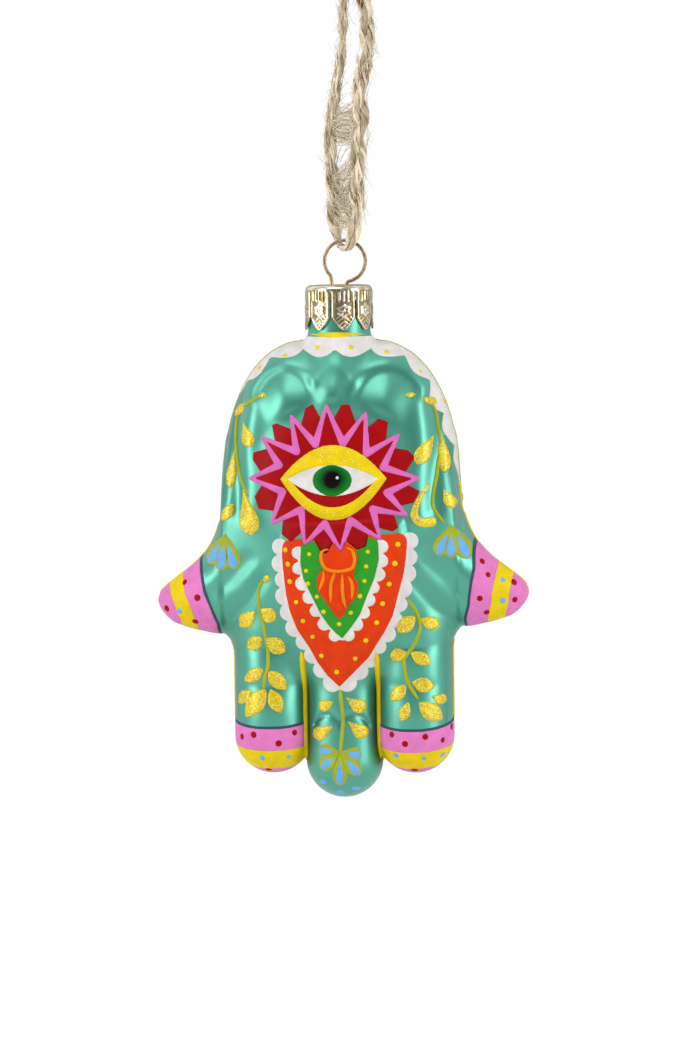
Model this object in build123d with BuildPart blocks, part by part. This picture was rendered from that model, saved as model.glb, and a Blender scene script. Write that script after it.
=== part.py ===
from build123d import *
import os
from math import atan2, cos, degrees, pi, radians, sin, sqrt, tan

# Hamsa hand ornament of blown glass. +Z is up, the painted front faces -Y and
# the origin is the hanging point under the twine's knot. All sizes are millimetres.

# Where the pieces hang below the hanging point
hand_axis_x = -3.2
cap_top_z = -65.0

# Blown glass hand: neck and palm
glass_wall = 1.0
neck_outer = 12.4
neck_wall = 0.9
neck_length = 10.0
palm_width = 47.8
palm_depth = 26.0
palm_length = 73.0
palm_crown_in_neck = 4.0
# The palm's dome is a superellipse, and its base and depth fall off as powers of the width
dome_width_power = 3.1
dome_height_power = 2.15
base_power = 1.2
depth_power = 2.4
palm_stations = [0.25, 0.46, 0.67, 0.787, 0.87, 0.937, 0.979]

# Three fingers that point down
finger_width = 15.4
finger_pitch = 14.3
finger_root_below_shoulder = 51.0
middle_finger_reach = 92.2
side_finger_reach = 87.2

# Two thumbs that flare out like a bell's rim
thumb_reach = 37.3
thumb_rise = 19.2
thumb_fall = 6.9
thumb_depth = 15.4
right_thumb_below_shoulder = 51.0
left_thumb_below_shoulder = 52.4
thumb_tip_flat = 0.15
# Thumb sections, as shares of the way from palm to tip, of thumb_rise, thumb_fall and thumb_depth
thumb_sections = [
    (0.000, 1.000, 1.000, 1.000),
    (0.067, 0.802, 0.986, 0.961),
    (0.187, 0.594, 0.957, 0.896),
    (0.321, 0.469, 0.899, 0.831),
    (0.455, 0.375, 0.841, 0.753),
    (0.604, 0.292, 0.754, 0.649),
    (0.784, 0.198, 0.609, 0.494),
    (0.903, 0.130, 0.391, 0.338),
    (0.970, 0.073, 0.203, 0.182),
    (1.000, 0.016, 0.043, 0.039),
]

# Moulded relief on the palm's front
eye_below_shoulder = 28.5
burst_points = 12
burst_width = 33.0
burst_height = 29.0
burst_valley = 0.82
burst_rise = 0.5
lid_width = 21.3
lid_height = 15.3
lid_rise = 1.1
iris_width = 7.8
iris_height = 6.6
iris_rise = 1.7
bib_width = 27.4
bib_middle_width = 22.4
bib_lean = 1.9
bib_top_below_shoulder = 40.0
bib_tip_below_shoulder = 70.4
bib_rise = 0.5

# Stamped crown cap
cap_sheet = 0.3
cap_fit = 0.15
cap_height = 8.8
cap_edge_radius = 1.0
petal_count = 8
petal_turn = 15.0
petal_gap_below_top = 2.8
petal_gap_waist = 0.3
petal_tip_width = 0.6
petal_flare = 0.1
boss_width = 1.8
boss_height = 2.6
boss_rise = 0.3
boss_below_top = 4.6

# Hanger wire: a ring whose two ends go through the cap and spread in the neck
wire_diameter = 0.8
ring_outer = 9.0
ring_offset = 1.3
ring_above_cap = 0.25
leg_hole_offset = 1.5
leg_hole_fit = 0.12
leg_bend_radius = 0.9
leg_length = 16.0
leg_neck_fit = 0.15
leg_end_spread = 6.6

# Jute twine, tied in a loop through the ring
twine_diameter = 1.9
knot_width = 6.2
knot_height = 6.6
knot_face = 4.6
knot_above_origin = 3.0
tail_length = 9.0
tail_lean = 14.0

# The twine's route from the knot, down behind the ring, through it and up in front
twine_route = [
    (-1.15, 0.00, 3.0),
    (-1.15, 0.00, -2.5),
    (-1.65, 0.30, -10.5),
    (-2.05, 0.55, -18.5),
    (-3.20, 0.75, -26.0),
    (-4.70, 1.00, -32.0),
    (-4.85, 1.20, -38.5),
    (-4.35, 1.40, -45.5),
    (-3.40, 1.60, -51.0),
    (-2.40, 1.75, -54.6),
    (-2.15, 1.75, -57.95),
    (-1.55, -1.75, -57.95),
    (-0.75, -1.75, -54.7),
    (0.70, -1.60, -51.0),
    (0.75, -1.50, -46.0),
    (0.95, -1.25, -40.5),
    (1.60, -1.05, -35.0),
    (1.40, -0.85, -29.5),
    (2.10, -0.65, -24.0),
    (3.25, -0.45, -18.5),
    (3.15, -0.30, -12.0),
    (2.20, -0.15, -6.5),
    (1.15, 0.00, -2.0),
    (1.15, 0.00, 3.0),
]

# Levels and radii that follow from the sizes above
neck_radius = neck_outer / 2
neck_bore_radius = neck_radius - neck_wall
neck_top_z = cap_top_z - cap_sheet - cap_fit
shoulder_z = neck_top_z - neck_length
neck_foot_z = shoulder_z - glass_wall
neck_lip_radius = cap_edge_radius - cap_sheet - cap_fit
finger_radius = finger_width / 2
eye_z = shoulder_z - eye_below_shoulder
cap_inner_radius = neck_radius + cap_fit
cap_outer_radius = cap_inner_radius + cap_sheet
wire_radius = wire_diameter / 2
ring_radius = ring_outer / 2 - wire_radius
ring_x = hand_axis_x + ring_offset
ring_z = cap_top_z + ring_above_cap + ring_outer / 2


def upright_axis(offset_x):
    """An upright axis beside the hand's own, offset_x to its right."""
    return Axis((hand_axis_x + offset_x, 0, 0), (0, 0, 1))


def front_plane(offset_x):
    """The plane that the front view is drawn on, with its zero on an upright axis."""
    return Plane(origin=(hand_axis_x + offset_x, 0, 0), x_dir=(1, 0, 0), z_dir=(0, -1, 0))


def body_sections(side, inset):
    """Sections of half the body, from beside the middle out to one thumb's tip.

    Each is (distance from the axis, top level, base level, half depth), drawn in by inset.
    """
    half_width = palm_width / 2 - inset
    half_depth = palm_depth / 2 - inset
    thumb_half_depth = thumb_depth / 2 - inset
    tip_below = right_thumb_below_shoulder if side > 0 else left_thumb_below_shoulder
    tip_z = shoulder_z - tip_below
    dome_top = shoulder_z - inset
    dome_height = dome_top - (tip_z + thumb_rise - inset)
    base_z = shoulder_z - palm_length + inset
    under_z = tip_z - thumb_fall + inset
    sections = []
    for share in palm_stations:
        drop = 1 - (1 - share**dome_width_power) ** (1 / dome_height_power)
        top_z = dome_top - dome_height * drop
        low_z = base_z + (under_z - base_z) * share**base_power
        depth = half_depth - (half_depth - thumb_half_depth) * share**depth_power
        sections.append((half_width * share, top_z, low_z, depth))
    span = thumb_reach - inset - half_width
    for along, rise, fall, deep in thumb_sections:
        top_z = tip_z + max(rise * thumb_rise - inset, thumb_tip_flat)
        low_z = tip_z - max(fall * thumb_fall - inset, thumb_tip_flat)
        depth = max(deep * thumb_depth / 2 - inset, thumb_tip_flat)
        sections.append((half_width + along * span, top_z, low_z, depth))
    return sections


def body_form(inset):
    """Palm and thumbs: one loft of upright ellipses from the left thumb's tip to the right one's."""
    crown_z = shoulder_z + palm_crown_in_neck - inset
    middle = (0, crown_z, shoulder_z - palm_length + inset, palm_depth / 2 - inset)
    left = [(-reach, *levels) for reach, *levels in reversed(body_sections(-1, inset))]
    with BuildPart() as body:
        for reach, top_z, low_z, depth in [*left, middle, *body_sections(1, inset)]:
            centre = (hand_axis_x + reach, 0, (top_z + low_z) / 2)
            with BuildSketch(Plane(origin=centre, x_dir=(0, 1, 0), z_dir=(1, 0, 0))):
                Ellipse(depth, (top_z - low_z) / 2)
        loft()
    return body.part


def finger_form(offset_x, reach, inset):
    """One finger: a straight rod, round at both ends, that starts inside the palm."""
    radius = finger_radius - inset
    root_z = shoulder_z - finger_root_below_shoulder
    tip_z = shoulder_z - reach + inset
    with BuildPart() as finger:
        with BuildSketch(front_plane(offset_x)):
            with BuildLine():
                top = RadiusArc((0, root_z + radius), (radius, root_z), radius)
                side = Line(top @ 1, (radius, tip_z + radius))
                tip = RadiusArc(side @ 1, (0, tip_z), radius)
                Line(tip @ 1, top @ 0)
            make_face()
        revolve(axis=upright_axis(offset_x))
    return finger.part


def hand_form(inset):
    """Palm, thumbs and fingers together, all drawn in by inset."""
    side_fingers = [finger_form(side * finger_pitch, side_finger_reach, inset) for side in (-1, 1)]
    with BuildPart() as form:
        add(body_form(inset))
        add([finger_form(0, middle_finger_reach, inset), *side_fingers])
    return form.part


def raised_pad(outline, rise):
    """The stretch of the hand's front inside an outline, raised by rise."""
    with BuildPart() as pad:
        add(hand_form(-rise))
        with BuildSketch(front_plane(0)):
            add(outline)
        extrude(amount=palm_depth, mode=Mode.INTERSECT)
    return pad.part


# Outlines of the relief, seen from the front
with BuildSketch() as burst_outline:
    with BuildLine():
        corners = []
        for step in range(2 * burst_points):
            turn = pi * step / burst_points
            reach = 1 if step % 2 == 0 else burst_valley
            corner_x = burst_width / 2 * reach * cos(turn)
            corner_z = eye_z + burst_height / 2 * reach * sin(turn)
            corners.append((corner_x, corner_z))
        Polyline(*corners, close=True)
    make_face()

with BuildSketch() as lid_outline:
    with BuildLine():
        lid_left = (-lid_width / 2, eye_z)
        lid_right = (lid_width / 2, eye_z)
        ThreePointArc(lid_left, (0, eye_z + lid_height / 2), lid_right)
        ThreePointArc(lid_right, (0, eye_z - lid_height / 2), lid_left)
    make_face()

with BuildSketch() as iris_outline:
    with Locations((0, eye_z)):
        Ellipse(iris_width / 2, iris_height / 2)

with BuildSketch() as bib_outline:
    bib_top_z = shoulder_z - bib_top_below_shoulder
    bib_tip_z = shoulder_z - bib_tip_below_shoulder
    bib_middle_z = (bib_top_z + bib_tip_z) / 2
    bib_corner_right = (bib_lean + bib_width / 2, bib_top_z)
    bib_corner_left = (bib_lean - bib_width / 2, bib_top_z)
    bib_middle_right = ((bib_lean + bib_middle_width) / 2, bib_middle_z)
    bib_middle_left = ((bib_lean - bib_middle_width) / 2, bib_middle_z)
    with BuildLine():
        right_edge = ThreePointArc(bib_corner_right, bib_middle_right, (0, bib_tip_z))
        left_edge = ThreePointArc((0, bib_tip_z), bib_middle_left, bib_corner_left)
        Line(left_edge @ 1, right_edge @ 0)
    make_face()

# Hollow blown glass hand, open at the neck
cavity_form = hand_form(glass_wall)

with BuildPart() as glass_hand:
    add(hand_form(0))
    add(
        [
            raised_pad(burst_outline.sketch, burst_rise),
            raised_pad(bib_outline.sketch, bib_rise),
            raised_pad(lid_outline.sketch, lid_rise),
            raised_pad(iris_outline.sketch, iris_rise),
        ]
    )
    with BuildSketch(front_plane(0)):
        with BuildLine():
            lip_face = Line((0, neck_top_z), (neck_radius - neck_lip_radius, neck_top_z))
            lip = RadiusArc(lip_face @ 1, (neck_radius, neck_top_z - neck_lip_radius), neck_lip_radius)
            Polyline(lip @ 1, (neck_radius, neck_foot_z), (0, neck_foot_z), lip_face @ 0)
        make_face()
    revolve(axis=upright_axis(0))
    add(cavity_form, mode=Mode.SUBTRACT)
    with BuildSketch(Plane.XY.offset(neck_top_z)):
        with Locations((hand_axis_x, 0)):
            Circle(neck_bore_radius)
    extrude(amount=neck_foot_z - neck_top_z, mode=Mode.SUBTRACT)
glass_hand.part.label = "glass_hand"

# Crown cap: a turned cup with its rim cut into pointed petals
cap_foot_z = cap_top_z - cap_height
cap_flare_radius = cap_outer_radius + petal_flare
petal_step = 2 * pi / petal_count
first_petal = radians(petal_turn)


def petal_plane(bearing, out):
    """A plane square to the cap's wall at a bearing, out from the axis, with its zero at the cap's top."""
    outward = (cos(bearing), sin(bearing), 0)
    origin = (hand_axis_x + out * cos(bearing), out * sin(bearing), cap_top_z)
    return Plane(origin=origin, x_dir=(-sin(bearing), cos(bearing), 0), z_dir=outward)


with BuildPart() as crown_cap:
    with BuildSketch(front_plane(0)):
        with BuildLine():
            gap_z = cap_top_z - petal_gap_below_top
            edge_z = cap_top_z - cap_edge_radius
            edge_reach = cap_outer_radius - cap_edge_radius
            top_line = Line((0, cap_top_z), (edge_reach, cap_top_z))
            edge_arc = RadiusArc(top_line @ 1, (cap_outer_radius, edge_z), cap_edge_radius)
            wall_line = Line(edge_arc @ 1, (cap_outer_radius, gap_z))
            flare_line = Line(wall_line @ 1, (cap_flare_radius, cap_foot_z))
            rim_line = Line(flare_line @ 1, (cap_flare_radius - cap_sheet, cap_foot_z))
            inner_flare = Line(rim_line @ 1, (cap_inner_radius, gap_z))
            inner_wall = Line(inner_flare @ 1, (cap_inner_radius, edge_z))
            under_start = (edge_reach, cap_top_z - cap_sheet)
            inner_arc = RadiusArc(inner_wall @ 1, under_start, -(cap_edge_radius - cap_sheet))
            under_line = Line(inner_arc @ 1, (0, cap_top_z - cap_sheet))
            Line(under_line @ 1, top_line @ 0)
        make_face()
    revolve(axis=upright_axis(0))
    for petal in range(petal_count):
        with BuildSketch(petal_plane(first_petal + petal * petal_step, cap_outer_radius - cap_sheet / 2)):
            with Locations((0, -boss_below_top)):
                Ellipse(boss_width / 2, boss_height / 2)
        extrude(amount=cap_sheet / 2 + boss_rise)
    for gap in range(petal_count):
        gap_half = cap_inner_radius * tan(petal_step / 2) - petal_tip_width / 2
        gap_foot = -cap_height - cap_fit
        with BuildSketch(petal_plane(first_petal + (gap + 0.5) * petal_step, 0)):
            with BuildLine():
                apex = (0, -petal_gap_below_top)
                waist = (gap_half * petal_gap_waist, -(petal_gap_below_top + cap_height) / 2)
                right_side = ThreePointArc(apex, waist, (gap_half, gap_foot))
                left_side = ThreePointArc((-gap_half, gap_foot), (-waist[0], waist[1]), apex)
                Line(right_side @ 1, left_side @ 0)
            make_face()
        extrude(amount=2 * cap_outer_radius, mode=Mode.SUBTRACT)
    with BuildSketch(Plane.XY.offset(cap_top_z)):
        with Locations((hand_axis_x + leg_hole_offset, 0), (hand_axis_x - leg_hole_offset, 0)):
            Circle(wire_radius + leg_hole_fit)
    extrude(amount=-2 * cap_sheet, mode=Mode.SUBTRACT)
crown_cap.part.label = "crown_cap"

# Hanger wire: left leg, ring and right leg are one bent wire
bend_reach = ring_radius + leg_bend_radius
left_run = ring_offset + leg_hole_offset + leg_bend_radius
right_run = leg_hole_offset + leg_bend_radius - ring_offset
left_bend_z = ring_z - sqrt(bend_reach**2 - left_run**2)
right_bend_z = ring_z - sqrt(bend_reach**2 - right_run**2)
left_bend_turn = degrees(atan2(ring_z - left_bend_z, left_run))
right_bend_turn = degrees(atan2(ring_z - right_bend_z, right_run))
leg_top_z = cap_top_z - cap_sheet - wire_radius
leg_neck_spread = neck_bore_radius - wire_radius - leg_neck_fit
leg_knee_z = shoulder_z - glass_wall - wire_diameter
leg_foot_z = cap_top_z - leg_length

with BuildPart() as hanger_wire:
    with BuildLine(Plane.XZ) as wire_path:
        left_leg = FilletPolyline(
            (hand_axis_x - leg_end_spread, leg_foot_z),
            (hand_axis_x - leg_neck_spread, leg_knee_z),
            (hand_axis_x - leg_hole_offset, leg_top_z),
            (hand_axis_x - leg_hole_offset, left_bend_z),
            radius=[2 * leg_bend_radius, leg_bend_radius],
        )
        left_bend = JernArc(left_leg @ 1, left_leg % 1, leg_bend_radius, left_bend_turn)
        ring = JernArc(left_bend @ 1, left_bend % 1, ring_radius, -(left_bend_turn + right_bend_turn + 180))
        right_bend = JernArc(ring @ 1, ring % 1, leg_bend_radius, right_bend_turn)
        FilletPolyline(
            right_bend @ 1,
            (hand_axis_x + leg_hole_offset, leg_top_z),
            (hand_axis_x + leg_neck_spread, leg_knee_z),
            (hand_axis_x + leg_end_spread, leg_foot_z),
            radius=[leg_bend_radius, 2 * leg_bend_radius],
        )
    with BuildSketch(Plane(origin=wire_path.line @ 0, z_dir=wire_path.line % 0)):
        Circle(wire_radius)
    sweep()
hanger_wire.part.label = "hanger_wire"


def route_radii(points):
    """The largest bend at each corner of a route: 0.45 of the shorter run over tan of half the turn."""
    radii = []
    for before, corner, after in zip(points, points[1:], points[2:]):
        run_in = Vector(corner) - Vector(before)
        run_out = Vector(after) - Vector(corner)
        half_turn = radians(run_in.get_angle(run_out)) / 2
        radii.append(0.45 * min(run_in.length, run_out.length) / tan(half_turn))
    return radii


# Twine loop, a tube along the route
twine_radii = route_radii(twine_route)
with BuildPart() as twine_loop:
    with BuildLine() as twine_path:
        FilletPolyline(*twine_route, radius=twine_radii)
    with BuildSketch(Plane(origin=twine_path.line @ 0, z_dir=twine_path.line % 0)):
        Circle(twine_diameter / 2)
    sweep()
twine_loop.part.label = "twine_loop"

# Knot: a round lump with flat faces where the strands go in and the tails come out
knot_top_z = knot_above_origin + knot_height
with BuildPart() as twine_knot:
    with BuildSketch(Plane.XZ):
        with BuildLine():
            low_face = Line((0, knot_above_origin), (knot_face / 2, knot_above_origin))
            belly = ThreePointArc(
                low_face @ 1,
                (knot_width / 2, knot_above_origin + knot_height / 2),
                (knot_face / 2, knot_top_z),
            )
            high_face = Line(belly @ 1, (0, knot_top_z))
            Line(high_face @ 1, low_face @ 0)
        make_face()
    revolve(axis=Axis.Z)
twine_knot.part.label = "twine_knot"

# Two tail ends that lean apart above the knot
with BuildPart() as twine_tails:
    for side in (-1, 1):
        tail_x = side * twine_route[-1][0]
        lean = tail_length / 2 * tan(radians(tail_lean))
        with BuildLine() as tail_path:
            FilletPolyline(
                (tail_x, 0, knot_top_z),
                (tail_x, 0, knot_top_z + tail_length / 2),
                (tail_x + side * lean, 0, knot_top_z + tail_length),
                radius=3 * twine_diameter,
            )
        with BuildSketch(Plane.XY.offset(knot_top_z)):
            with Locations((tail_x, 0)):
                Circle(twine_diameter / 2)
        sweep(path=tail_path.line)
twine_tails.part.label = "twine_tails"

os.makedirs("parts", exist_ok=True)
for piece in (glass_hand, crown_cap, hanger_wire, twine_loop, twine_knot, twine_tails):
    export_step(piece.part, "parts/" + piece.part.label + ".step")
    print(piece.part.label, "volume", round(piece.part.volume, 1), "valid", piece.part.is_valid)

twine_length = sum(edge.length for edge in twine_path.edges())
section_times_length = pi * (twine_diameter / 2) ** 2 * twine_length
print("twine radii", [round(radius, 1) for radius in twine_radii])
print("twine length", round(twine_length, 1), "section times length", round(section_times_length, 1))
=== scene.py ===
# %% [markdown]
# # Hamsa hand ornament
# A blown glass hand hangs, fingers down, from a loop of jute twine, under a stamped cap and a wire ring.
# The frame of this lesson is in metres. The hand's own shapes are worked out in millimetres: u runs to
# the right from the middle of the hand, v runs down from its shoulder, y runs from front to back.

import math

import bpy
import numpy as np
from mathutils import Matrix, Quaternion, Vector


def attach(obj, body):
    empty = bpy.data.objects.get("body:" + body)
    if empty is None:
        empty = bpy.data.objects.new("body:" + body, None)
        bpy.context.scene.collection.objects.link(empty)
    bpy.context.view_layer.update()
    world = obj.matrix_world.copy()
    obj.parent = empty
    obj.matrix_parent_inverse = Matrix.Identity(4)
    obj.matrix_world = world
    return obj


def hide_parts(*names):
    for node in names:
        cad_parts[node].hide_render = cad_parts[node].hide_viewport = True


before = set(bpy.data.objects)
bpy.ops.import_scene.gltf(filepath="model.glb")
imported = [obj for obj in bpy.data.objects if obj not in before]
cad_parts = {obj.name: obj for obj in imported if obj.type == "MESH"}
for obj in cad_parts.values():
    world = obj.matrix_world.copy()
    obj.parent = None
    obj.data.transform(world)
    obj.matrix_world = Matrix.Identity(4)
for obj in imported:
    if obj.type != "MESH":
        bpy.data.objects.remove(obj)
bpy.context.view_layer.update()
chance = np.random.default_rng(4)
MM = 0.001


def shown(name, data):
    """A new object of the scene."""
    made = bpy.data.objects.new(name, data)
    bpy.context.scene.collection.objects.link(made)
    return made


print("frame holds", sorted(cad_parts))

# %% [markdown]
# The sizes of the hand are the ones the solid part is drawn with. The tables are shares of them, read
# along the outline of palm and thumb, because a hand of another size then keeps its outline.

# %% sizes of the hand, in millimetres
AXIS_X = -3.2
SHOULDER_Z = -75.45
PALM_HALF = 23.9
PALM_DEPTH = 13.0
PALM_LENGTH = 73.0
CROWN_IN_NECK = 4.0
THUMB_REACH = 37.3
THUMB_RISE = 19.2
THUMB_FALL = 6.9
THUMB_DEPTH = 7.7
TIP_RIGHT = 51.0
TIP_LEFT = 52.4
FINGER_RADIUS = 7.7
FINGER_PITCH = 14.3
FINGER_ROOT = 51.0
SIDE_REACH = 87.2
MIDDLE_REACH = 92.2
NECK_RADIUS = 6.2
NECK_BORE = 5.3
NECK_LENGTH = 10.0
FINGER_FILLET, ROOT_FILLET, NECK_FILLET = 0.9, 2.2, 1.8
LEG_ROOM, LEG_ROOM_V, LEG_ROOM_HALF = 7.8, 5, 4
EYE_V = 27.5
BURST_V = 27.4
BURST_HALF = (16.6, 14.6)
PALM_STEPS = np.array([-0.25, 0, 0.25, 0.46, 0.67, 0.787, 0.87, 0.937, 0.979])
THUMB_STEPS = np.array([0, 0.067, 0.187, 0.321, 0.455, 0.604, 0.784, 0.903, 0.970, 1.0])
THUMB_TOP = np.array([1, 0.802, 0.594, 0.469, 0.375, 0.292, 0.198, 0.130, 0.073, 0.016])
THUMB_LOW = np.array([1, 0.986, 0.957, 0.899, 0.841, 0.754, 0.609, 0.391, 0.203, 0.043])
THUMB_DEEP = np.array([1, 0.961, 0.896, 0.831, 0.753, 0.649, 0.494, 0.338, 0.182, 0.039])
print("hand is", 2 * THUMB_REACH, "mm wide and", MIDDLE_REACH + NECK_LENGTH, "mm tall")

# %% [markdown]
# ## Camera, light and stage
# The camera looks from a little to the right and a little above, with a long lens, as product photographs
# do. The hand leans by less than one degree, so the camera is rolled by that much.

# %% camera
view_middle = Vector((-0.00158, 0, -0.113))
view_turn, view_height, view_roll = math.radians(7), math.radians(4), math.radians(0.77)
view_distance, view_field = 1.0, 0.210
sensor_width = 36
out = math.cos(view_height)
away = Vector((math.sin(view_turn) * out, -math.cos(view_turn) * out, math.sin(view_height)))
camera = shown("camera", bpy.data.cameras.new("camera"))
camera.location = view_middle + away * view_distance
camera.rotation_mode = "QUATERNION"
camera.rotation_quaternion = (-away).to_track_quat("-Z", "Y") @ Quaternion((0, 0, 1), -view_roll)
camera.data.sensor_width = sensor_width
camera.data.lens = sensor_width * view_distance / view_field
camera.data.clip_start, camera.data.clip_end = 0.05, 30
bpy.context.scene.camera = camera
bpy.context.scene.view_settings.view_transform = "Standard"
print("lens", round(camera.data.lens, 1), "mm")

# %% [markdown]
# Small tools for shaders. One turns a colour code into linear values, and one adds a node, sets it and
# links it. The finishes here are alike in two ways, so two more tools begin and end them: a cloud of tone
# with a fine grain, and two colours mixed by a share on their way to the surface.

# %% shader tools
def srgb(code):
    """A colour code such as #3FA99B as linear values."""
    c = np.array([int(code[i : i + 2], 16) for i in (1, 3, 5)]) / 255
    linear = np.where(c <= 0.04045, c / 12.92, ((c + 0.055) / 1.055) ** 2.4)
    return (*linear.tolist(), 1.0)


def add(tree, kind, inputs=None, **settings):
    """A new node. Each input takes a plain value, a node's output or a node, for its first output."""
    made = tree.nodes.new("ShaderNode" + kind)
    for key, value in settings.items():
        setattr(made, key, value)
    for key, value in (inputs or {}).items():
        if isinstance(value, bpy.types.Node):
            value = value.outputs[0]
        if isinstance(value, bpy.types.NodeSocket):
            tree.links.new(value, made.inputs[key])
        else:
            made.inputs[key].default_value = value
    return made


def new_material(name):
    """An empty material and its node tree."""
    material = bpy.data.materials.new(name)
    material.use_nodes = True
    material.node_tree.nodes.clear()
    return material, material.node_tree


def clouded(name, cloud, grain, strength, deep):
    """The start of a finish: material, node tree, place, a cloud of tone and the bump of a grain.

    Cloud and grain are each a size in millimetres and a detail. The grain is so many millimetres deep."""
    material, tree = new_material(name)
    place = add(tree, "TexCoord").outputs["Object"]
    cloud, grain = (
        add(tree, "TexNoise", {"Vector": place, "Scale": 1 / (size * MM), "Detail": detail})
        for size, detail in (cloud, grain))
    bump = add(tree, "Bump", {"Height": grain, "Strength": strength, "Distance": deep * MM})
    return material, tree, place, cloud, bump


def surface(tree, share, one, other, sockets):
    """The end of a finish: two colours mixed by a share from 0 to 1, and the shader's other sockets."""
    tint = add(tree, "Mix", {0: share, 6: one, 7: other}, data_type="RGBA").outputs[2]
    skin = add(tree, "BsdfPrincipled", {"Base Color": tint, **sockets})
    add(tree, "OutputMaterial", {"Surface": skin})


print("shader tools ready")

# %% [markdown]
# The room is white paper behind the ornament, as in a studio. Before and behind the ornament it is dimmer
# than at the sides, so that the curved glass has something darker to mirror in its middle.

# %% room
world = bpy.data.worlds.new("room")
bpy.context.scene.world = world
world.use_nodes = True
sky = world.node_tree
sky.nodes.clear()
ray = add(sky, "LightPath")
direction = add(sky, "TexCoord")
parts = add(sky, "SeparateXYZ", {0: direction.outputs["Generated"]})
level = add(sky, "MapRange", {0: parts.outputs["Y"], 1: -0.9, 2: 0.5, 3: 0.20, 4: 1.0})
behind = add(sky, "MapRange", {0: parts.outputs["Y"], 1: 0.5, 2: 1.0, 3: 1.0, 4: 0.35})
level = add(sky, "Math", {0: level, 1: behind}, operation="MULTIPLY")
seen = add(sky, "Math", {0: ray.outputs["Is Camera Ray"], 1: ray.outputs["Is Transmission Ray"]},
           operation="MAXIMUM")
mirrored = add(sky, "Mix", {0: ray.outputs["Is Glossy Ray"], 2: 0.48, 3: level})
strength = add(sky, "Mix", {0: seen, 2: mirrored, 3: 1.0})
paper = add(sky, "Background", {"Color": (1, 1, 1, 1), "Strength": strength})
add(sky, "OutputWorld", {"Surface": paper})
print("room is white")

# %% [markdown]
# Three softboxes light the ornament. A tall one on each side draws a long soft light down the curved
# glass, and a weaker one above lights the cap. They are area lamps, because a softbox is a broad lit
# sheet.

# %% lamps
lamps_aim = Vector((-0.003, 0, -0.115))
lamps = {
    "left softbox": ((-0.62, -0.42, 0.05), (0.30, 0.75), 2.9),
    "right softbox": ((0.66, -0.30, 0.00), (0.28, 0.75), 3.0),
    "top softbox": ((-0.10, -0.35, 0.62), (0.50, 0.40), 1.7),
}
for name, (place, size, power) in lamps.items():
    lamp = bpy.data.lights.new(name, "AREA")
    lamp.shape = "RECTANGLE"
    lamp.size, lamp.size_y = size
    lamp.energy = power
    holder = shown(name, lamp)
    holder.location = place
    aim = lamps_aim - holder.location
    holder.rotation_euler = aim.to_track_quat("-Z", "Y").to_euler()
print(len(lamps), "lamps")

# %% [markdown]
# The floor is a sheet of white paper well below the ornament. To the camera it glows a little, so that it
# merges with the white room and still keeps a faint shadow.

# %% floor
floor_z, floor_half = -0.245, 6
floor_mesh = bpy.data.meshes.new("paper floor")
corners = [(a * floor_half, b * floor_half, floor_z) for a, b in ((-1, -1), (1, -1), (1, 1), (-1, 1))]
floor_mesh.from_pydata(corners, [], [(0, 1, 2, 3)])
floor = shown("paper floor", floor_mesh)
material, tree = new_material("white paper, matt")
ray = add(tree, "LightPath")
share = add(tree, "Math", {0: ray.outputs["Is Camera Ray"], 1: 0.8}, operation="MULTIPLY")
plain = add(tree, "BsdfDiffuse", {"Color": (0.93, 0.93, 0.92, 1)})
glow = add(tree, "Emission", {"Color": (1, 1, 1, 1), "Strength": 1.16})
both = add(tree, "MixShader", {0: share, 1: plain, 2: glow})
add(tree, "OutputMaterial", {"Surface": both})
floor_mesh.materials.append(material)
print("floor at", floor_z, "m")

# %% [markdown]
# ## Finishes
# The hand is blown into a mould, silvered inside and dipped in teal lacquer, which dries satin. So it is
# drawn as part metal under a rough coat. Its tone wanders in soft clouds, and it is darker in creases and
# hollows as painted shade.

# %% lacquered glass
glass, tree, place, cloud, bump = clouded(
    "blown glass, silvered, satin teal lacquer", (11, 3.0), (0.25, 1.0), 0.12, 0.03)
# The hollow value darkens the lacquer as painted shade in creases and between the fingers; depth adds it to a
# cloud of lacquer tone.
hollow = add(tree, "Attribute", attribute_name="hollow").outputs["Fac"]
depth = add(tree, "Math", {0: cloud, 1: 0.25, 2: -0.12}, operation="MULTIPLY_ADD")
depth = add(tree, "Math", {0: hollow, 1: depth}, operation="ADD", use_clamp=True)
rough = add(tree, "MapRange", {0: cloud, 1: 0.3, 2: 0.7, 3: 0.31, 4: 0.40})
surface(tree, depth, srgb("#4FA993"), srgb("#205F45"), {
    "Metallic": 0.66, "Roughness": rough, "Normal": bump, "Coat Weight": 0.6, "Coat Roughness": 0.3})
print("made", glass.name)

# %% [markdown]
# The paints are enamel, put on by hand with a small brush. Each is a little uneven, and the brush leaves
# fine ridges, so a cloud of millimetres changes the tone and finer noise the surface. The iris darkens to
# its middle.

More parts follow.
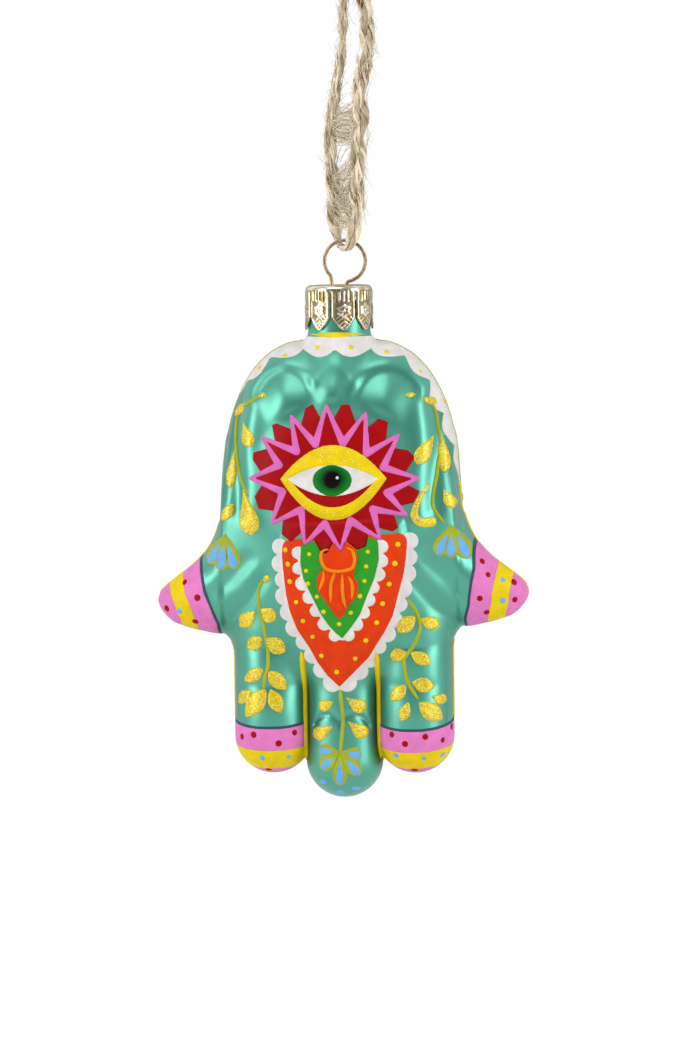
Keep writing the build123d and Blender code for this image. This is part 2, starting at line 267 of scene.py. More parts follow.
# %% enamel paints
PAINTS = {
    "pink": "#E57FC3", "hot pink": "#DA6CB8", "dark red": "#A20206", "white": "#E2DEDB", "yellow": "#EBCF08",
    "orange red": "#E23C04", "green": "#309B29", "orange": "#F0890A", "sky blue": "#6FB2EE",
    "slate": "#35525F", "leaf green": "#A6B127", "black": "#030303", "iris green": "#0B7A25",
}
paint = {}
for colour, code in PAINTS.items():
    material, tree, place, cloud, bump = clouded(
        "enamel paint, " + colour + ", brushed", (2.2, 3.0), (0.5, 2.0), 0.25, 0.05)
    base = srgb(code)
    deep = tuple(c * 0.80 for c in base[:3]) + (1.0,)
    patch = add(tree, "MapRange", {0: cloud, 1: 0.35, 2: 0.65, 3: 0.0, 4: 0.6})
    share, one, other = patch, base, deep
    if colour == "iris green":
        middle = (AXIS_X * MM, 0, (SHOULDER_Z - EYE_V) * MM)
        away = add(tree, "VectorMath", {0: place, 1: middle}, operation="SUBTRACT")
        flat = add(tree, "VectorMath", {0: away, 1: (1, 0, 1.2)}, operation="MULTIPLY")
        far = add(tree, "VectorMath", {0: flat}, operation="LENGTH").outputs["Value"]
        rim = add(tree, "MapRange", {0: far, 1: 1.5 * MM, 2: 3.3 * MM, 3: 0.0, 4: 1.0})
        green = add(tree, "Mix", {0: patch, 6: base, 7: deep}, data_type="RGBA").outputs[2]
        share, one, other = rim, srgb("#021A06"), green
    surface(tree, share, one, other, {"Roughness": 0.42, "Normal": bump, "Specular IOR Level": 0.12})
    paint[colour] = material
print(len(paint), "enamel paints")

# %% [markdown]
# Glitter is strewn on wet yellow paint. The paint under it is lumpy, and the flakes are small gold
# mirrors, so each has its own finish.

# %% glitter
for name, key, size, deep_gold, pale_gold, metallic, rough in (
    ("glitter paint, gold, strewn", "glitter", 0.28, "#C9A800", "#F2DF3A", 0.25, 0.35),
    ("glitter flake, gold foil, mirror", "flake", 0.5, "#FFE58A", "#FFFAE0", 1.0, 0.18),
):
    paint[key], tree = new_material(name)
    place = add(tree, "TexCoord").outputs["Object"]
    speck = add(tree, "TexVoronoi", {"Vector": place, "Scale": 1 / (size * MM)})
    shade = add(tree, "SeparateColor", {0: speck.outputs["Color"]})
    sockets = {"Metallic": metallic, "Roughness": rough}
    if key == "glitter":
        lumps = {"Height": shade.outputs[1], "Strength": 0.6, "Distance": 0.12 * MM}
        sockets["Normal"] = add(tree, "Bump", lumps)
    surface(tree, shade, srgb(deep_gold), srgb(pale_gold), sockets)
print("made glitter")

# %% [markdown]
# The cap is thin steel, plated pale gold and stamped. The ring is drawn brass wire. Both are a little
# tarnished in patches, and the cap is also darker down its wall and most in the hollows of the stamping,
# so one loop makes both with their own colours and sizes.

# %% metals
metal = {}
for name, pale, dark, rough, size in (
    ("tinplate, gilt, stamped", "#F4ECD2", "#8E7433", 0.14, 1.6),
    ("brass wire, drawn", "#B9A27C", "#57473A", 0.24, 1.1),
):
    material, tree, place, cloud, bump = clouded(name, (size, 4.0), (0.2, 2.0), 0.15, 0.02)
    hollow = add(tree, "Attribute", attribute_name="hollow").outputs["Fac"]
    stain = add(tree, "MapRange", {0: cloud, 1: 0.42, 2: 0.75, 3: 0.0, 4: 0.7})
    stain = add(tree, "Math", {0: stain, 1: hollow}, operation="ADD", use_clamp=True)
    wear = add(tree, "MapRange", {0: cloud, 1: 0.3, 2: 0.7, 3: rough, 4: rough + 0.14})
    surface(tree, stain, srgb(pale), srgb(dark), {"Metallic": 1.0, "Roughness": wear, "Normal": bump})
    metal[name.split(",")[0]] = material
print("made", sorted(metal))

# %% [markdown]
# Jute is spun from long dry fibres and is not dyed. Each fibre keeps a tone of its own, which its mesh
# carries as a value, and clouds of a few millimetres run over all of them.

# %% jute
jute, tree, place, cloud, bump = clouded("jute, natural, loosely spun", (4, 3.0), (0.3, 2.0), 0.5, 0.08)
streak = add(tree, "Attribute", attribute_name="streak").outputs["Fac"]
tone = add(tree, "Math", {0: cloud, 1: 1.25, 2: streak}, operation="MULTIPLY_ADD", use_clamp=True)
surface(tree, tone, srgb("#7C5C34"), srgb("#F3E6CB"), {
    "Roughness": 0.8, "Normal": bump, "Specular IOR Level": 0.25, "Sheen Weight": 0.35,
    "Sheen Roughness": 0.4})
print("made", jute.name)

# %% [markdown]
# ## Outlines of the painted and moulded shapes
# A painter fills outlines, so each painted shape is a rule: how far a point of the hand's face is from
# the shape's edge, below zero inside. Such rules can be joined, cut and grown before any paint is laid.
# Leaves, scallops and brush lines come from a few points each.

# %% shape tools
def to_segment(a, b, start, stop):
    """Where on a segment the nearest point lies, from 0 to 1, and how far it is."""
    (x0, y0), (dx, dy) = start, stop - start
    t = np.clip(((a - x0) * dx + (b - y0) * dy) / (dx * dx + dy * dy + 1e-12), 0, 1)
    return t, np.hypot(a - x0 - t * dx, b - y0 - t * dy)


def polygon(points):
    """The area inside a closed outline."""
    corners = np.array(points, float)

    def region(a, b):
        best = np.full(np.broadcast(a, b).shape, 1e9)
        inside = np.zeros(best.shape, bool)
        for start, stop in zip(corners, np.roll(corners, -1, 0)):
            best = np.minimum(best, to_segment(a, b, start, stop)[1])
            (x0, y0), (dx, dy) = start, stop - start
            if abs(dy) > 1e-9:
                inside ^= ((y0 > b) != (stop[1] > b)) & (a < dx * (b - y0) / dy + x0)
        return np.where(inside, -best, best)

    return region


def stroke(points, width, end_width=None):
    """A brush line along the points. It may taper to another width."""
    line = np.array(points, float)
    wide = np.linspace(width, width if end_width is None else end_width, len(line)) / 2

    def region(a, b):
        best = np.full(np.broadcast(a, b).shape, 1e9)
        for start, stop, w0, w1 in zip(line, line[1:], wide, wide[1:]):
            t, far = to_segment(a, b, start, stop)
            best = np.minimum(best, far - w0 - t * (w1 - w0))
        return best

    return region


def oval(a0, b0, ra, rb):
    """An oval round a point."""
    return lambda a, b: (np.hypot((a - a0) / ra, (b - b0) / rb) - 1) * min(ra, rb)


def any_of(*regions):
    return lambda a, b: np.minimum.reduce([r(a, b) for r in regions])


def without(region, hole):
    return lambda a, b: np.maximum(region(a, b), -hole(a, b))


def grown(region, by):
    return lambda a, b: region(a, b) - by


def flowing(points, step=0.4):
    """A smooth line through the points, in steps of about that many millimetres."""
    p = np.array(points, float)
    p = np.vstack([2 * p[0] - p[1], p, 2 * p[-1] - p[-2]])
    line = []
    for a, b, c, d in zip(p, p[1:], p[2:], p[3:]):
        t = np.linspace(0, 1, max(2, int(np.linalg.norm(c - b) / step)), endpoint=False)[:, None]
        second, third = a - 2.5 * b + 2 * c - d / 2, 1.5 * (b - c) + (d - a) / 2
        line.append(b + (c - a) * t / 2 + second * t**2 + third * t**3)
    return np.vstack([*line, p[-2:-1]])


def leaf(base, tip, width, blunt=0.0):
    """The outline of a leaf from its stalk to its tip. A blunt leaf is widest near its end."""
    base, tip = np.array(base, float), np.array(tip, float)
    t = np.linspace(0, 1, 12)
    side = np.sin(np.pi * t ** (0.8 + 1.4 * blunt)) ** (0.85 - 0.25 * blunt) * width / 2
    across = np.array([-(tip - base)[1], (tip - base)[0]]) / np.linalg.norm(tip - base)
    spine = base + (tip - base) * t[:, None]
    return np.vstack([spine + across * side[:, None], (spine - across * side[:, None])[-2:0:-1]])


def run_along(line):
    """How far along a line each of its points lies."""
    return np.concatenate([[0], np.cumsum(np.linalg.norm(np.diff(line, axis=0), axis=1))])


def points_at(line, at):
    """The points at some lengths along a line."""
    run = run_along(line)
    return np.stack([np.interp(at, run, row) for row in line.T], 1)


def round_beads(points, spacing, radius, out=0.0):
    """A row of scallops along a line, each a small disc."""
    line = flowing(points, 0.1)
    long = run_along(line)[-1]
    count = max(1, int(long / spacing))
    at = (np.arange(count) + 0.5) * long / count
    along = points_at(line, at + 0.2) - points_at(line, at - 0.2)
    along /= np.linalg.norm(along, axis=1)[:, None] + 1e-9
    middle = points_at(line, at) + out * np.stack([along[:, 1], -along[:, 0]], 1)
    sizes = radius * chance.uniform(0.88, 1.1, count)
    return lambda a, b: np.minimum.reduce([np.hypot(a - x, b - y) - r for (x, y), r in zip(middle, sizes)])


print("shape tools ready")

# %% [markdown]
# The large shapes of the front, in millimetres. The mould raises them and the painter follows the mould,
# so the same outlines serve for both. The petals of the burst are cut freehand, so chance moves their
# ends a little.

# %% bib, burst and eye
bib_left = [(-10.2, 39.4), (-10.5, 42.8), (-10.2, 47.2), (-9.9, 50.6), (-9.3, 53.8), (-8.0, 57.5),
            (-5.7, 61.2), (-4.2, 64.2), (-2.3, 66.9), (0.1, 69.2)]
bib_right = [(14.1, 38.4), (14.3, 40.3), (14.0, 43.5), (13.5, 46.4), (12.3, 50.7), (11.1, 54.9), (9.4, 58.1),
             (7.6, 60.8), (6.0, 63.3), (3.1, 66.2), (0.1, 69.2)]
green_left = [(-6.6, 40.6), (-6.8, 44.0), (-6.3, 47.2), (-4.9, 50.3), (-3.1, 54.2), (-1.7, 56.4),
              (-0.2, 58.2), (1.1, 59.3)]
green_right = [(8.8, 39.6), (8.9, 43.4), (7.9, 47.2), (6.4, 50.6), (4.8, 54.5), (3.1, 56.9), (1.1, 59.3)]
bib = polygon([(-9.8, 36.5)] + bib_left + bib_right[-2::-1] + [(13.8, 35.5)])
bib_middle = polygon([(-6.2, 37.5)] + green_left + green_right[-2::-1] + [(8.6, 37)])
tassel = polygon(flowing([
    (-1.6, 38.6), (-2.3, 40.6), (-2.6, 43.3), (-2.1, 45.2), (-3.3, 46.4), (-3.5, 49.1), (-2.5, 51.0),
    (-1.1, 53.0), (0.8, 55.2), (2.8, 52.3), (4.3, 50.6), (4.6, 48.1), (3.8, 46.7), (4.2, 45.2),
    (4.6, 42.8), (4.0, 40.6), (3.4, 38.6)], 0.5))


def almond(half, up, down, middle=EYE_V):
    """The outline of an eye with pointed corners."""
    t = np.linspace(0, math.pi, 24)
    bow = np.sin(t) ** 2
    top = np.stack([-half * np.cos(t), middle - up * bow], 1)
    low = np.stack([half * np.cos(t), middle + down * bow], 1)
    return polygon(np.vstack([top[:-1], low[:-1]]))


burst_tips = np.array([
    (16.6, 27.6), (12.8, 19.1), (6.3, 14.7), (-1.4, 13.2), (-8.5, 15.2), (-14.4, 19.4), (-16.8, 27.4),
    (-12.5, 36.3), (-5.8, 40.4), (1.4, 41.6), (9.2, 39.4), (14.3, 34.8)])
burst_valleys = np.array([
    (9.9, 25.3), (6.6, 22.6), (2.0, 20.5), (-3.5, 20.7), (-7.3, 22.1), (-10.8, 24.8), (-10.1, 30.0),
    (-6.4, 33.5), (-1.7, 36.3), (3.4, 35.7), (7.8, 33.5), (10.6, 30.3)])
burst_red, burst_lines = [], []
for a, b, foot in zip(burst_tips, np.roll(burst_tips, -1, 0), burst_valleys):
    out = (a + b) / 2 - foot
    out = out / np.linalg.norm(out)
    share, push = chance.uniform(0.3, 0.44, 2), chance.uniform(0.5, 1.2, 2)
    ends = [a + (b - a) * share[0] + out * push[0], b + (a - b) * share[1] + out * push[1]]
    burst_red.append(polygon([foot, foot + (a - foot) * 0.62, *ends, foot + (b - foot) * 0.62]))
    burst_lines += [stroke([foot, a], 1.55, 0.6), stroke([foot, b], 1.55, 0.6)]
burst_zigzag = any_of(*burst_lines)
burst_star = polygon(np.stack([burst_tips, burst_valleys], 1).reshape(-1, 2))
burst_ground = any_of(burst_star, grown(polygon(burst_valleys), 0.6), *burst_red)
burst_all = any_of(burst_ground, burst_zigzag)
lids = almond(10.6, 6.7, 8.2)
white_of_eye = almond(9.35, 3.0, 3.4)
lower_lid = almond(8.9, 1.0, 5.8)
print("bib, burst and eye are outlined")

# %% [markdown]
# ## The glass hand
# The hand is blown into a mould of two halves. Its form is a rule too: how far a point is from the
# surface. Palm and thumbs are one row of upright oval slices, and fingers and neck are joined to it with
# fillets. The mould's relief is a height over that. Both faces have folds and knuckles, and the front has
# the rest.

# %% form of the hand
def steps_through(x, xs, ys):
    """A smooth curve through a table of steps."""
    slope = np.gradient(ys, xs)
    i = np.clip(np.searchsorted(xs, x) - 1, 0, len(xs) - 2)
    w = xs[i + 1] - xs[i]
    t = (x - xs[i]) / w
    return ((1 + 2 * t) * (1 - t) ** 2 * ys[i] + t * (1 - t) ** 2 * w * slope[i]
            + t * t * (3 - 2 * t) * ys[i + 1] + t * t * (t - 1) * w * slope[i + 1])


palm_steps = np.abs(PALM_STEPS)
slice_reach = np.concatenate([PALM_HALF * PALM_STEPS, PALM_HALF + (THUMB_REACH - PALM_HALF) * THUMB_STEPS])
palm_deep = PALM_DEPTH - (PALM_DEPTH - THUMB_DEPTH) * palm_steps**2.4
slice_deep = np.concatenate([palm_deep, THUMB_DEPTH * THUMB_DEEP])
slice_ends = {}
for side, tip in ((1, TIP_RIGHT), (-1, TIP_LEFT)):
    dome = (tip - THUMB_RISE) * (1 - (1 - palm_steps**3.1) ** (1 / 2.15)) - CROWN_IN_NECK * (PALM_STEPS == 0)
    base = PALM_LENGTH + (tip + THUMB_FALL - PALM_LENGTH) * palm_steps**1.2
    top, low = tip - THUMB_RISE * THUMB_TOP, tip + THUMB_FALL * THUMB_LOW
    slice_ends[side] = (np.append(dome, top), np.append(base, low))


def upright_slice(u):
    """Middle, half height and half depth of the slice through palm and thumbs at u."""
    a = np.minimum(np.abs(u), THUMB_REACH)
    right, left = ([steps_through(a, slice_reach, row) for row in slice_ends[side]] for side in (1, -1))
    top, low = (np.where(u > 0, *pair) for pair in zip(right, left))
    deep = steps_through(a, slice_reach, slice_deep)
    return (top + low) / 2, np.maximum((low - top) / 2, 0.1), np.maximum(deep, 0.1)


def slice_share(u, y, v):
    """How far out a point lies in its slice: 1 on the surface."""
    middle, high, deep = upright_slice(u)
    return np.sqrt((y / deep) ** 2 + ((v - middle) / high) ** 2 + 1e-12)


def palm_distance(u, y, v):
    """Distance to palm and thumbs: the share past the surface over how fast it grows."""
    middle, high, deep = upright_slice(u)
    q = slice_share(u, y, v)
    sideways = (slice_share(u + 0.05, y, v) - slice_share(u - 0.05, y, v)) / 0.1
    steep = np.sqrt(sideways**2 + ((y / deep**2) ** 2 + ((v - middle) / high**2) ** 2) / q**2 + 1e-9)
    return np.maximum((q - 1) / steep, np.abs(u) - THUMB_REACH)


def finger_distance(u, y, v, at, reach):
    """Distance to a finger with a round tip."""
    along = np.clip(v, FINGER_ROOT + FINGER_RADIUS, reach - FINGER_RADIUS)
    return np.sqrt((u - at) ** 2 + y**2 + (v - along) ** 2) - FINGER_RADIUS


def joined(a, b, k):
    """The nearer of two forms, with a fillet where they meet."""
    h = np.maximum(k - np.abs(a - b), 0) / k
    return np.minimum(a, b) - h * h * k / 4


def step_up(x):
    """Rises softly from 0 to 1."""
    t = np.clip(x, 0, 1)
    return t * t * (3 - 2 * t)


def lump(u, v, at_u, at_v, ru, rv):
    """A soft oval mound of height 1."""
    q = np.minimum(((u - at_u) / ru) ** 2 + ((v - at_v) / rv) ** 2, 1)
    return (1 - q) ** 2


def bell(x):
    """A soft bump: 1 in its middle, and little left where x is past -1 or 1."""
    return np.exp(-(x**2))


def along_line(u, v, points, width):
    """A soft ridge along a line."""
    return bell(np.maximum(stroke(points, 0)(u, v), 0) / width)


def folds(u, v):
    """Height of the folds and knuckles that both faces of the hand have, in millimetres."""
    m = np.abs(u)
    rise = 0.0
    for high, width, line in (
        (-0.6, 1.5, [(19.3, 12), (19.9, 16), (20.2, 22), (19.4, 29), (19.6, 34)]),
        (0.4, 2.0, [(16.6, 13), (17.2, 20), (16.8, 27), (16.4, 36)]),
        (-0.55, 1.3, [(14.8, 47.6), (18.2, 52.2), (22.4, 56.6)]),
        (-0.32, 1.5, [(17.6, 43.6), (21.6, 47.6), (26.0, 50.6)]),
        (0.2, 1.6, [(16.2, 45.8), (20.0, 50.0), (24.2, 53.6)]),
    ):
        rise = rise + high * along_line(m, v, line, width)
    side = np.abs(m - FINGER_PITCH)
    knuckles = ((58.0, 0.35, 3.6, 5.0), (65.0, 0.35, 3.6, 5.0), (74.0, 0.5, 4.6, 5.0))
    creases = ((61.5, -0.35, 1.0, 4.5), (69.3, -0.35, 1.1, 4.5))
    for at, high, tall, wide in knuckles + creases:
        rise += high * np.exp(-(((v - at) / tall) ** 2) - (side / wide) ** 2)
    ring = np.hypot(m - 2.6, (v - 78.2) * 0.9)
    rise -= 0.4 * bell((ring - 2.9) / 0.45) * step_up((78.4 - v) / 1.5)
    return rise


def relief(u, v):
    """Height of the moulding over the plain front, in millimetres."""
    q = np.hypot(u / BURST_HALF[0], (v - BURST_V) / BURST_HALF[1])
    rise = folds(u, v) + 0.5 * step_up((1.06 - q) * 3.2)
    lid = -lids(u, v)
    rise += 0.6 * step_up(lid / 1.6) - 0.35 * step_up((-white_of_eye(u, v)) / 1.2)
    rise += 0.75 * lump(u, v, 0, EYE_V + 0.3, 5.6, 4.8)
    inside, outside = -bib(u, v), bib_middle(u, v)
    rise += 0.45 * step_up((inside + 0.6) / 1.2) + 0.4 * step_up(np.minimum(inside, outside) / 1.6)
    rise += 0.3 * step_up(-tassel(u, v) / 1.2)
    away = step_up((q - 0.9) * 4)
    rise += away * 0.95 * lump(u, v, -9.6, 12.0, 6.0, 6.6) + away * 0.95 * lump(u, v, 9.9, 12.8, 6.2, 6.8)
    rise += away * 0.8 * lump(u, v, -0.4, 10.6, 3.2, 5.2)
    for at, side in ((-10.2, 6.6), (10.4, 6.8)):
        ring = np.hypot((u - at) / side, (v - 14.5) / 8.2)
        rise += 0.42 * bell((ring - 1.18) / 0.23) * step_up((14 - v) / 5)
        rise -= 0.16 * bell((ring - 0.92) / 0.15) * step_up((14 - v) / 5)
    ring = np.hypot((u + 0.2) / 4.2, (v - 12.0) / 6.0)
    rise += 0.28 * bell((ring - 1.08) / 0.3) * step_up((12 - v) / 4)
    return rise


def hand_distance(u, y, v, raised=None):
    """How far a point is from the hand's surface. It is below zero inside the glass."""
    front, back = (relief(u, v), folds(u, v)) if raised is None else raised
    left, middle, right = (
        finger_distance(u, y, v, at * FINGER_PITCH, reach)
        for at, reach in ((-1, SIDE_REACH), (0, MIDDLE_REACH), (1, SIDE_REACH)))
    fingers = joined(joined(left, middle, FINGER_FILLET), right, FINGER_FILLET)
    hand = joined(palm_distance(u, y, v), fingers, ROOT_FILLET)
    hand = hand - front * step_up((-1.0 - y) / 3.0) - back * step_up((y - 1.0) / 3.0)
    neck = np.maximum(np.hypot(u, y) - NECK_RADIUS, np.maximum(-NECK_LENGTH - v, v - 4))
    return joined(hand, neck, NECK_FILLET)


def shape_distance(u, y, v, raised=None):
    """The hand with the bore of its neck and the hollow below it, where the wire's legs are."""
    wide = np.maximum(np.hypot(u, y) - NECK_BORE, v - 2)
    hand = hand_distance(u, y, v, raised)
    room = np.maximum(hand + NECK_RADIUS - NECK_BORE, np.hypot(u, y) - LEG_ROOM)
    room = np.maximum(room, np.abs(v - LEG_ROOM_V) - LEG_ROOM_HALF)
    return np.maximum(hand, -joined(wide, room, 0.5))


def normal_at(distance, p):
    """Outward direction of the surface at points (u, y, v)."""
    e = 0.02
    ways = [distance(*(p + e * d).T) - distance(*(p - e * d).T) for d in np.eye(3)]
    n = np.stack(ways, 1)
    return n / (np.linalg.norm(n, axis=1)[:, None] + 1e-12)


def to_frame(p):
    """Points (u, y, v) in the ornament's frame, still in millimetres."""
    return np.stack([AXIS_X + p[:, 0], p[:, 1], SHOULDER_Z - p[:, 2]], 1)


print("deepest relief", round(float(relief(np.array([0.0]), np.array([EYE_V]))[0]), 2), "mm")

# %% [markdown]
# ## Mesh tools
# The first tool nets the surface of a form: a point in each small cell that the surface crosses, and a
# face round each crossed edge. That keeps soft mouldings smooth. The others cut a mesh along an edge,
# turn an open patch into a thin closed coat, as paint and sheet metal are, and draw tubes for wire, lines
# and fibres.

# %% mesh tools
def netted(field, low, step):
    """Points and faces over the surface in a block of distances: a point in each crossed cell."""
    size = np.array(field.shape) - 1
    total, count = np.zeros((*size, 3)), np.zeros(size)
    corner = lambda o: field[o[0] : o[0] + size[0], o[1] : o[1] + size[1], o[2] : o[2] + size[2]]
    for axis in range(3):
        for i in (0, 1):
            for j in (0, 1):
                near = np.insert([i, j], axis, 0)
                far = np.insert([i, j], axis, 1)
                fa, fb = corner(near), corner(far)
                crossed = (fa < 0) != (fb < 0)
                t = np.where(crossed, fa / np.where(crossed, fa - fb, 1), 0)
                for k in range(3):
                    total[..., k] += crossed * (near[k] + (t if k == axis else 0))
                count += crossed
    used = count > 0
    number = np.full(size, -1)
    number[used] = np.arange(used.sum())
    points = low + step * (np.argwhere(used) + total[used] / count[used][:, None])
    faces = []
    for axis in range(3):
        b, c = (axis + 1) % 3, (axis + 2) % 3
        lower = np.take(field, np.arange(size[axis]), axis) < 0
        upper = np.take(field, np.arange(1, size[axis] + 1), axis) < 0
        for going_out in (True, False):
            cells = np.argwhere((lower & ~upper) if going_out else (~lower & upper))
            across = cells[:, [b, c]]
            cells = cells[((across > 0) & (across < size[[b, c]])).all(1)]
            ring = []
            for db, dc in ((1, 1), (0, 1), (0, 0), (1, 0)):
                other = cells.copy()
                other[:, b] -= db
                other[:, c] -= dc
                ring.append(number[tuple(other.T)])
            quad = np.stack(ring, 1)
            faces.append(quad if going_out else quad[:, ::-1])
    return points, np.vstack(faces)


def cut(points, triangles, value):
    """Keeps the part of a mesh where value is above zero, and cuts the triangles on the edge."""
    inside = value > 0
    count = inside[triangles].sum(1)
    one, two = triangles[count == 1], triangles[count == 2]
    order = np.arange(3)
    one = np.take_along_axis(one, (np.argmax(inside[one], 1)[:, None] + order) % 3, 1)
    two = np.take_along_axis(two, (np.argmin(inside[two], 1)[:, None] + order) % 3, 1)
    pairs = np.vstack([one[:, [0, 1]], one[:, [0, 2]], two[:, [1, 0]], two[:, [2, 0]]])
    pairs = np.sort(pairs, 1)
    code, where = np.unique(pairs[:, 0] * len(points) + pairs[:, 1], return_inverse=True)
    a, b = code // len(points), code % len(points)
    t = (value[a] / (value[a] - value[b]))[:, None]
    fresh = points[a] + t * (points[b] - points[a])
    at = len(points) + where.reshape(-1)
    n, m = len(one), len(two)
    p, q, r, s = at[:n], at[n : 2 * n], at[2 * n : 2 * n + m], at[2 * n + m :]
    kept = np.vstack([
        triangles[count == 3], np.stack([one[:, 0], p, q], 1), np.stack([r, two[:, 1], two[:, 2]], 1),
        np.stack([r, two[:, 2], s], 1)])
    used, kept = np.unique(kept, return_inverse=True)
    value = np.concatenate([value, np.zeros(len(fresh))])
    return np.vstack([points, fresh])[used], kept.reshape(-1, 3), value[used]


def closed_coat(base, normal, high, triangles, under):
    """A thin closed body: a face at a height over the base, a face under it and a rim."""
    n = len(base)
    a, b, c = (base[triangles[:, k]] for k in range(3))
    if np.einsum("ij,ij->", np.cross(b - a, c - a), normal[triangles[:, 0]]) < 0:
        triangles = triangles[:, ::-1]
    edges = np.vstack([triangles[:, [0, 1]], triangles[:, [1, 2]], triangles[:, [2, 0]]])
    rim = edges[~np.isin(edges[:, 0] * n + edges[:, 1], edges[:, 1] * n + edges[:, 0])]
    start, stop = rim.T
    sides = np.vstack([np.stack([stop, start, start + n], 1), np.stack([stop, start + n, stop + n], 1)])
    high, under = (np.reshape(reach, (-1, 1)) for reach in (high, under))
    points = np.vstack([base + normal * high, base - normal * under])
    return points, np.vstack([triangles, triangles[:, ::-1] + n, sides])


def piece(name, parts, material, body, shares=None):
    """One object from several bodies of points and faces, in millimetres of the frame. It rides a body."""
    points = np.vstack([p for p, _ in parts])
    starts = np.cumsum([0] + [len(p) for p, _ in parts])
    faces = [f + s for (_, f), s in zip(parts, starts)]
    mesh = bpy.data.meshes.new(name)
    mesh.from_pydata((points * MM).tolist(), [], [row for f in faces for row in f.tolist()])
    mesh.polygons.foreach_set("use_smooth", np.ones(len(mesh.polygons), bool))
    for key, share in (shares or {}).items():
        mesh.attributes.new(key, "FLOAT", "POINT").data.foreach_set("value", np.asarray(share, np.float32))
    mesh.materials.append(material)
    made = shown(name, mesh)
    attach(made, body)
    return made


def in_triangles(quads):
    """Each four-sided face as two triangles."""
    return np.vstack([quads[:, [0, 1, 2]], quads[:, [0, 2, 3]]])


def wall(rows, around):
    """Triangles between rings of points that follow each other."""
    i = np.arange(rows - 1)[:, None] * around
    j, k = np.arange(around)[None], (np.arange(around) + 1)[None] % around
    return in_triangles(np.stack([i + j, i + k, i + around + k, i + around + j], -1).reshape(-1, 4))


def fan(tip, around, first=0, under=False):
    """Triangles from a tip to a ring of points. They face the other way under a body."""
    a = first + np.arange(around)
    b = first + (np.arange(around) + 1) % around
    return np.stack([np.full(around, tip), b, a] if under else [np.full(around, tip), a, b], 1)


def carried(line, hint):
    """The direction along a line and two across it, which turn no more than the line does."""
    ahead = np.gradient(line, axis=0)
    ahead /= np.linalg.norm(ahead, axis=1)[:, None] + 1e-12
    first, out = np.cross(ahead[0], hint), []
    for d in ahead:
        first = first - d * first.dot(d)
        first = first / np.linalg.norm(first)
        out.append(first)
    return ahead, np.array(out), np.cross(ahead, np.array(out))


def tube(line, radius, sides=8):
    """A closed round tube along points in millimetres. The radius may change along it."""
    line = np.asarray(line, float)
    radius = np.broadcast_to(radius, len(line))[:, None, None]
    _, out, over = carried(line, (0.31, 0.87, 0.38))
    turn = (np.arange(sides) * 2 * math.pi / sides)[None, :, None]
    ring = line[:, None] + radius * (np.cos(turn) * out[:, None] + np.sin(turn) * over[:, None])
    points = np.vstack([ring.reshape(-1, 3), line[:1], line[-1:]])
    n = len(line) * sides
    ends = [fan(n, sides, under=True), fan(n + 1, sides, n - sides)]
    return points, np.vstack([wall(len(line), sides), *ends])


print("mesh tools ready")

# %% [markdown]
# The skin of the hand is netted from the form. Its points are then pulled onto the true surface. Each
# point knows how hollow its place is, from how near the glass is a little way out, and is darkened by that
# as painted shade in creases and between the fingers.

# %% skin of the hand
net_step = 0.5
net_low, net_high = np.array([-38.5, -16.5, -11.0]), np.array([38.5, 14.5, 93.5])
counts = np.ceil((net_high - net_low) / net_step).astype(int) + 1
gu, gy, gv = (net_low[k] + net_step * np.arange(counts[k]) for k in range(3))
block = shape_distance(gu[:, None, None], gy[None, :, None], gv[None, None, :])
skin_points, skin_quads = netted(block, net_low, net_step)
for _ in range(3):
    pull = normal_at(shape_distance, skin_points)
    skin_points = skin_points - np.clip(shape_distance(*skin_points.T), -0.3, 0.3)[:, None] * pull
skin_normals = normal_at(shape_distance, skin_points)
# This value is painted shade: the glass is darkened where other glass lies near, in creases and between the
# fingers.
painted_crease_shade = np.zeros(len(skin_points))
for reach in (0.8, 1.6, 3.2):
    gap = hand_distance(*(skin_points + reach * skin_normals).T)
    painted_crease_shade += np.clip((reach - gap) / reach, 0, 1) / 3
skin_quads = skin_quads[:, ::-1]
hand_skin = piece("hand_skin", [(to_frame(skin_points), skin_quads)], glass, "hand",
                  {"hollow": np.clip(painted_crease_shade * 1.3, 0, 1)})
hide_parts("glass_hand")
lowest = round(float(skin_points[:, 2].max()), 2)
print("skin has", len(skin_points), "points, lowest at", lowest, "mm below the shoulder")

# %% [markdown]
# ## Paint
# A painter works from the ground up, each coat over the one below. So each coat is a flat shape that is
# set down on the glass as a thin closed body, a little higher than the last. Bands that go right round
# the glass are cut from its skin. Dots are drops, and lines are thin tubes half sunk in the glass.

# %% paint tools
FRONT, BACK = -1.0, 1.0
FACES = (FRONT, BACK)
COAT_SUNK, BAND_SUNK, DOT_SUNK = 0.08, 0.06, 0.15


def glass_at(u, v, side):
    """How deep the glass lies at (u, v), on its front or its back."""
    raised = relief(u, v), folds(u, v)
    inner, outer = np.zeros(u.shape), np.full(u.shape, side * 20.0)
    for _ in range(24):
        middle = (inner + outer) / 2
        solid = hand_distance(u, middle, v, raised) < 0
        inner, outer = np.where(solid, middle, inner), np.where(solid, outer, middle)
    return inner


def set_down(flat, side):
    """Points (u, v) on the glass, as points in the frame and outward directions."""
    p = np.stack([flat[:, 0], glass_at(flat[:, 0], flat[:, 1], side), flat[:, 1]], 1)
    return to_frame(p), normal_at(hand_distance, p) * (1, 1, -1)


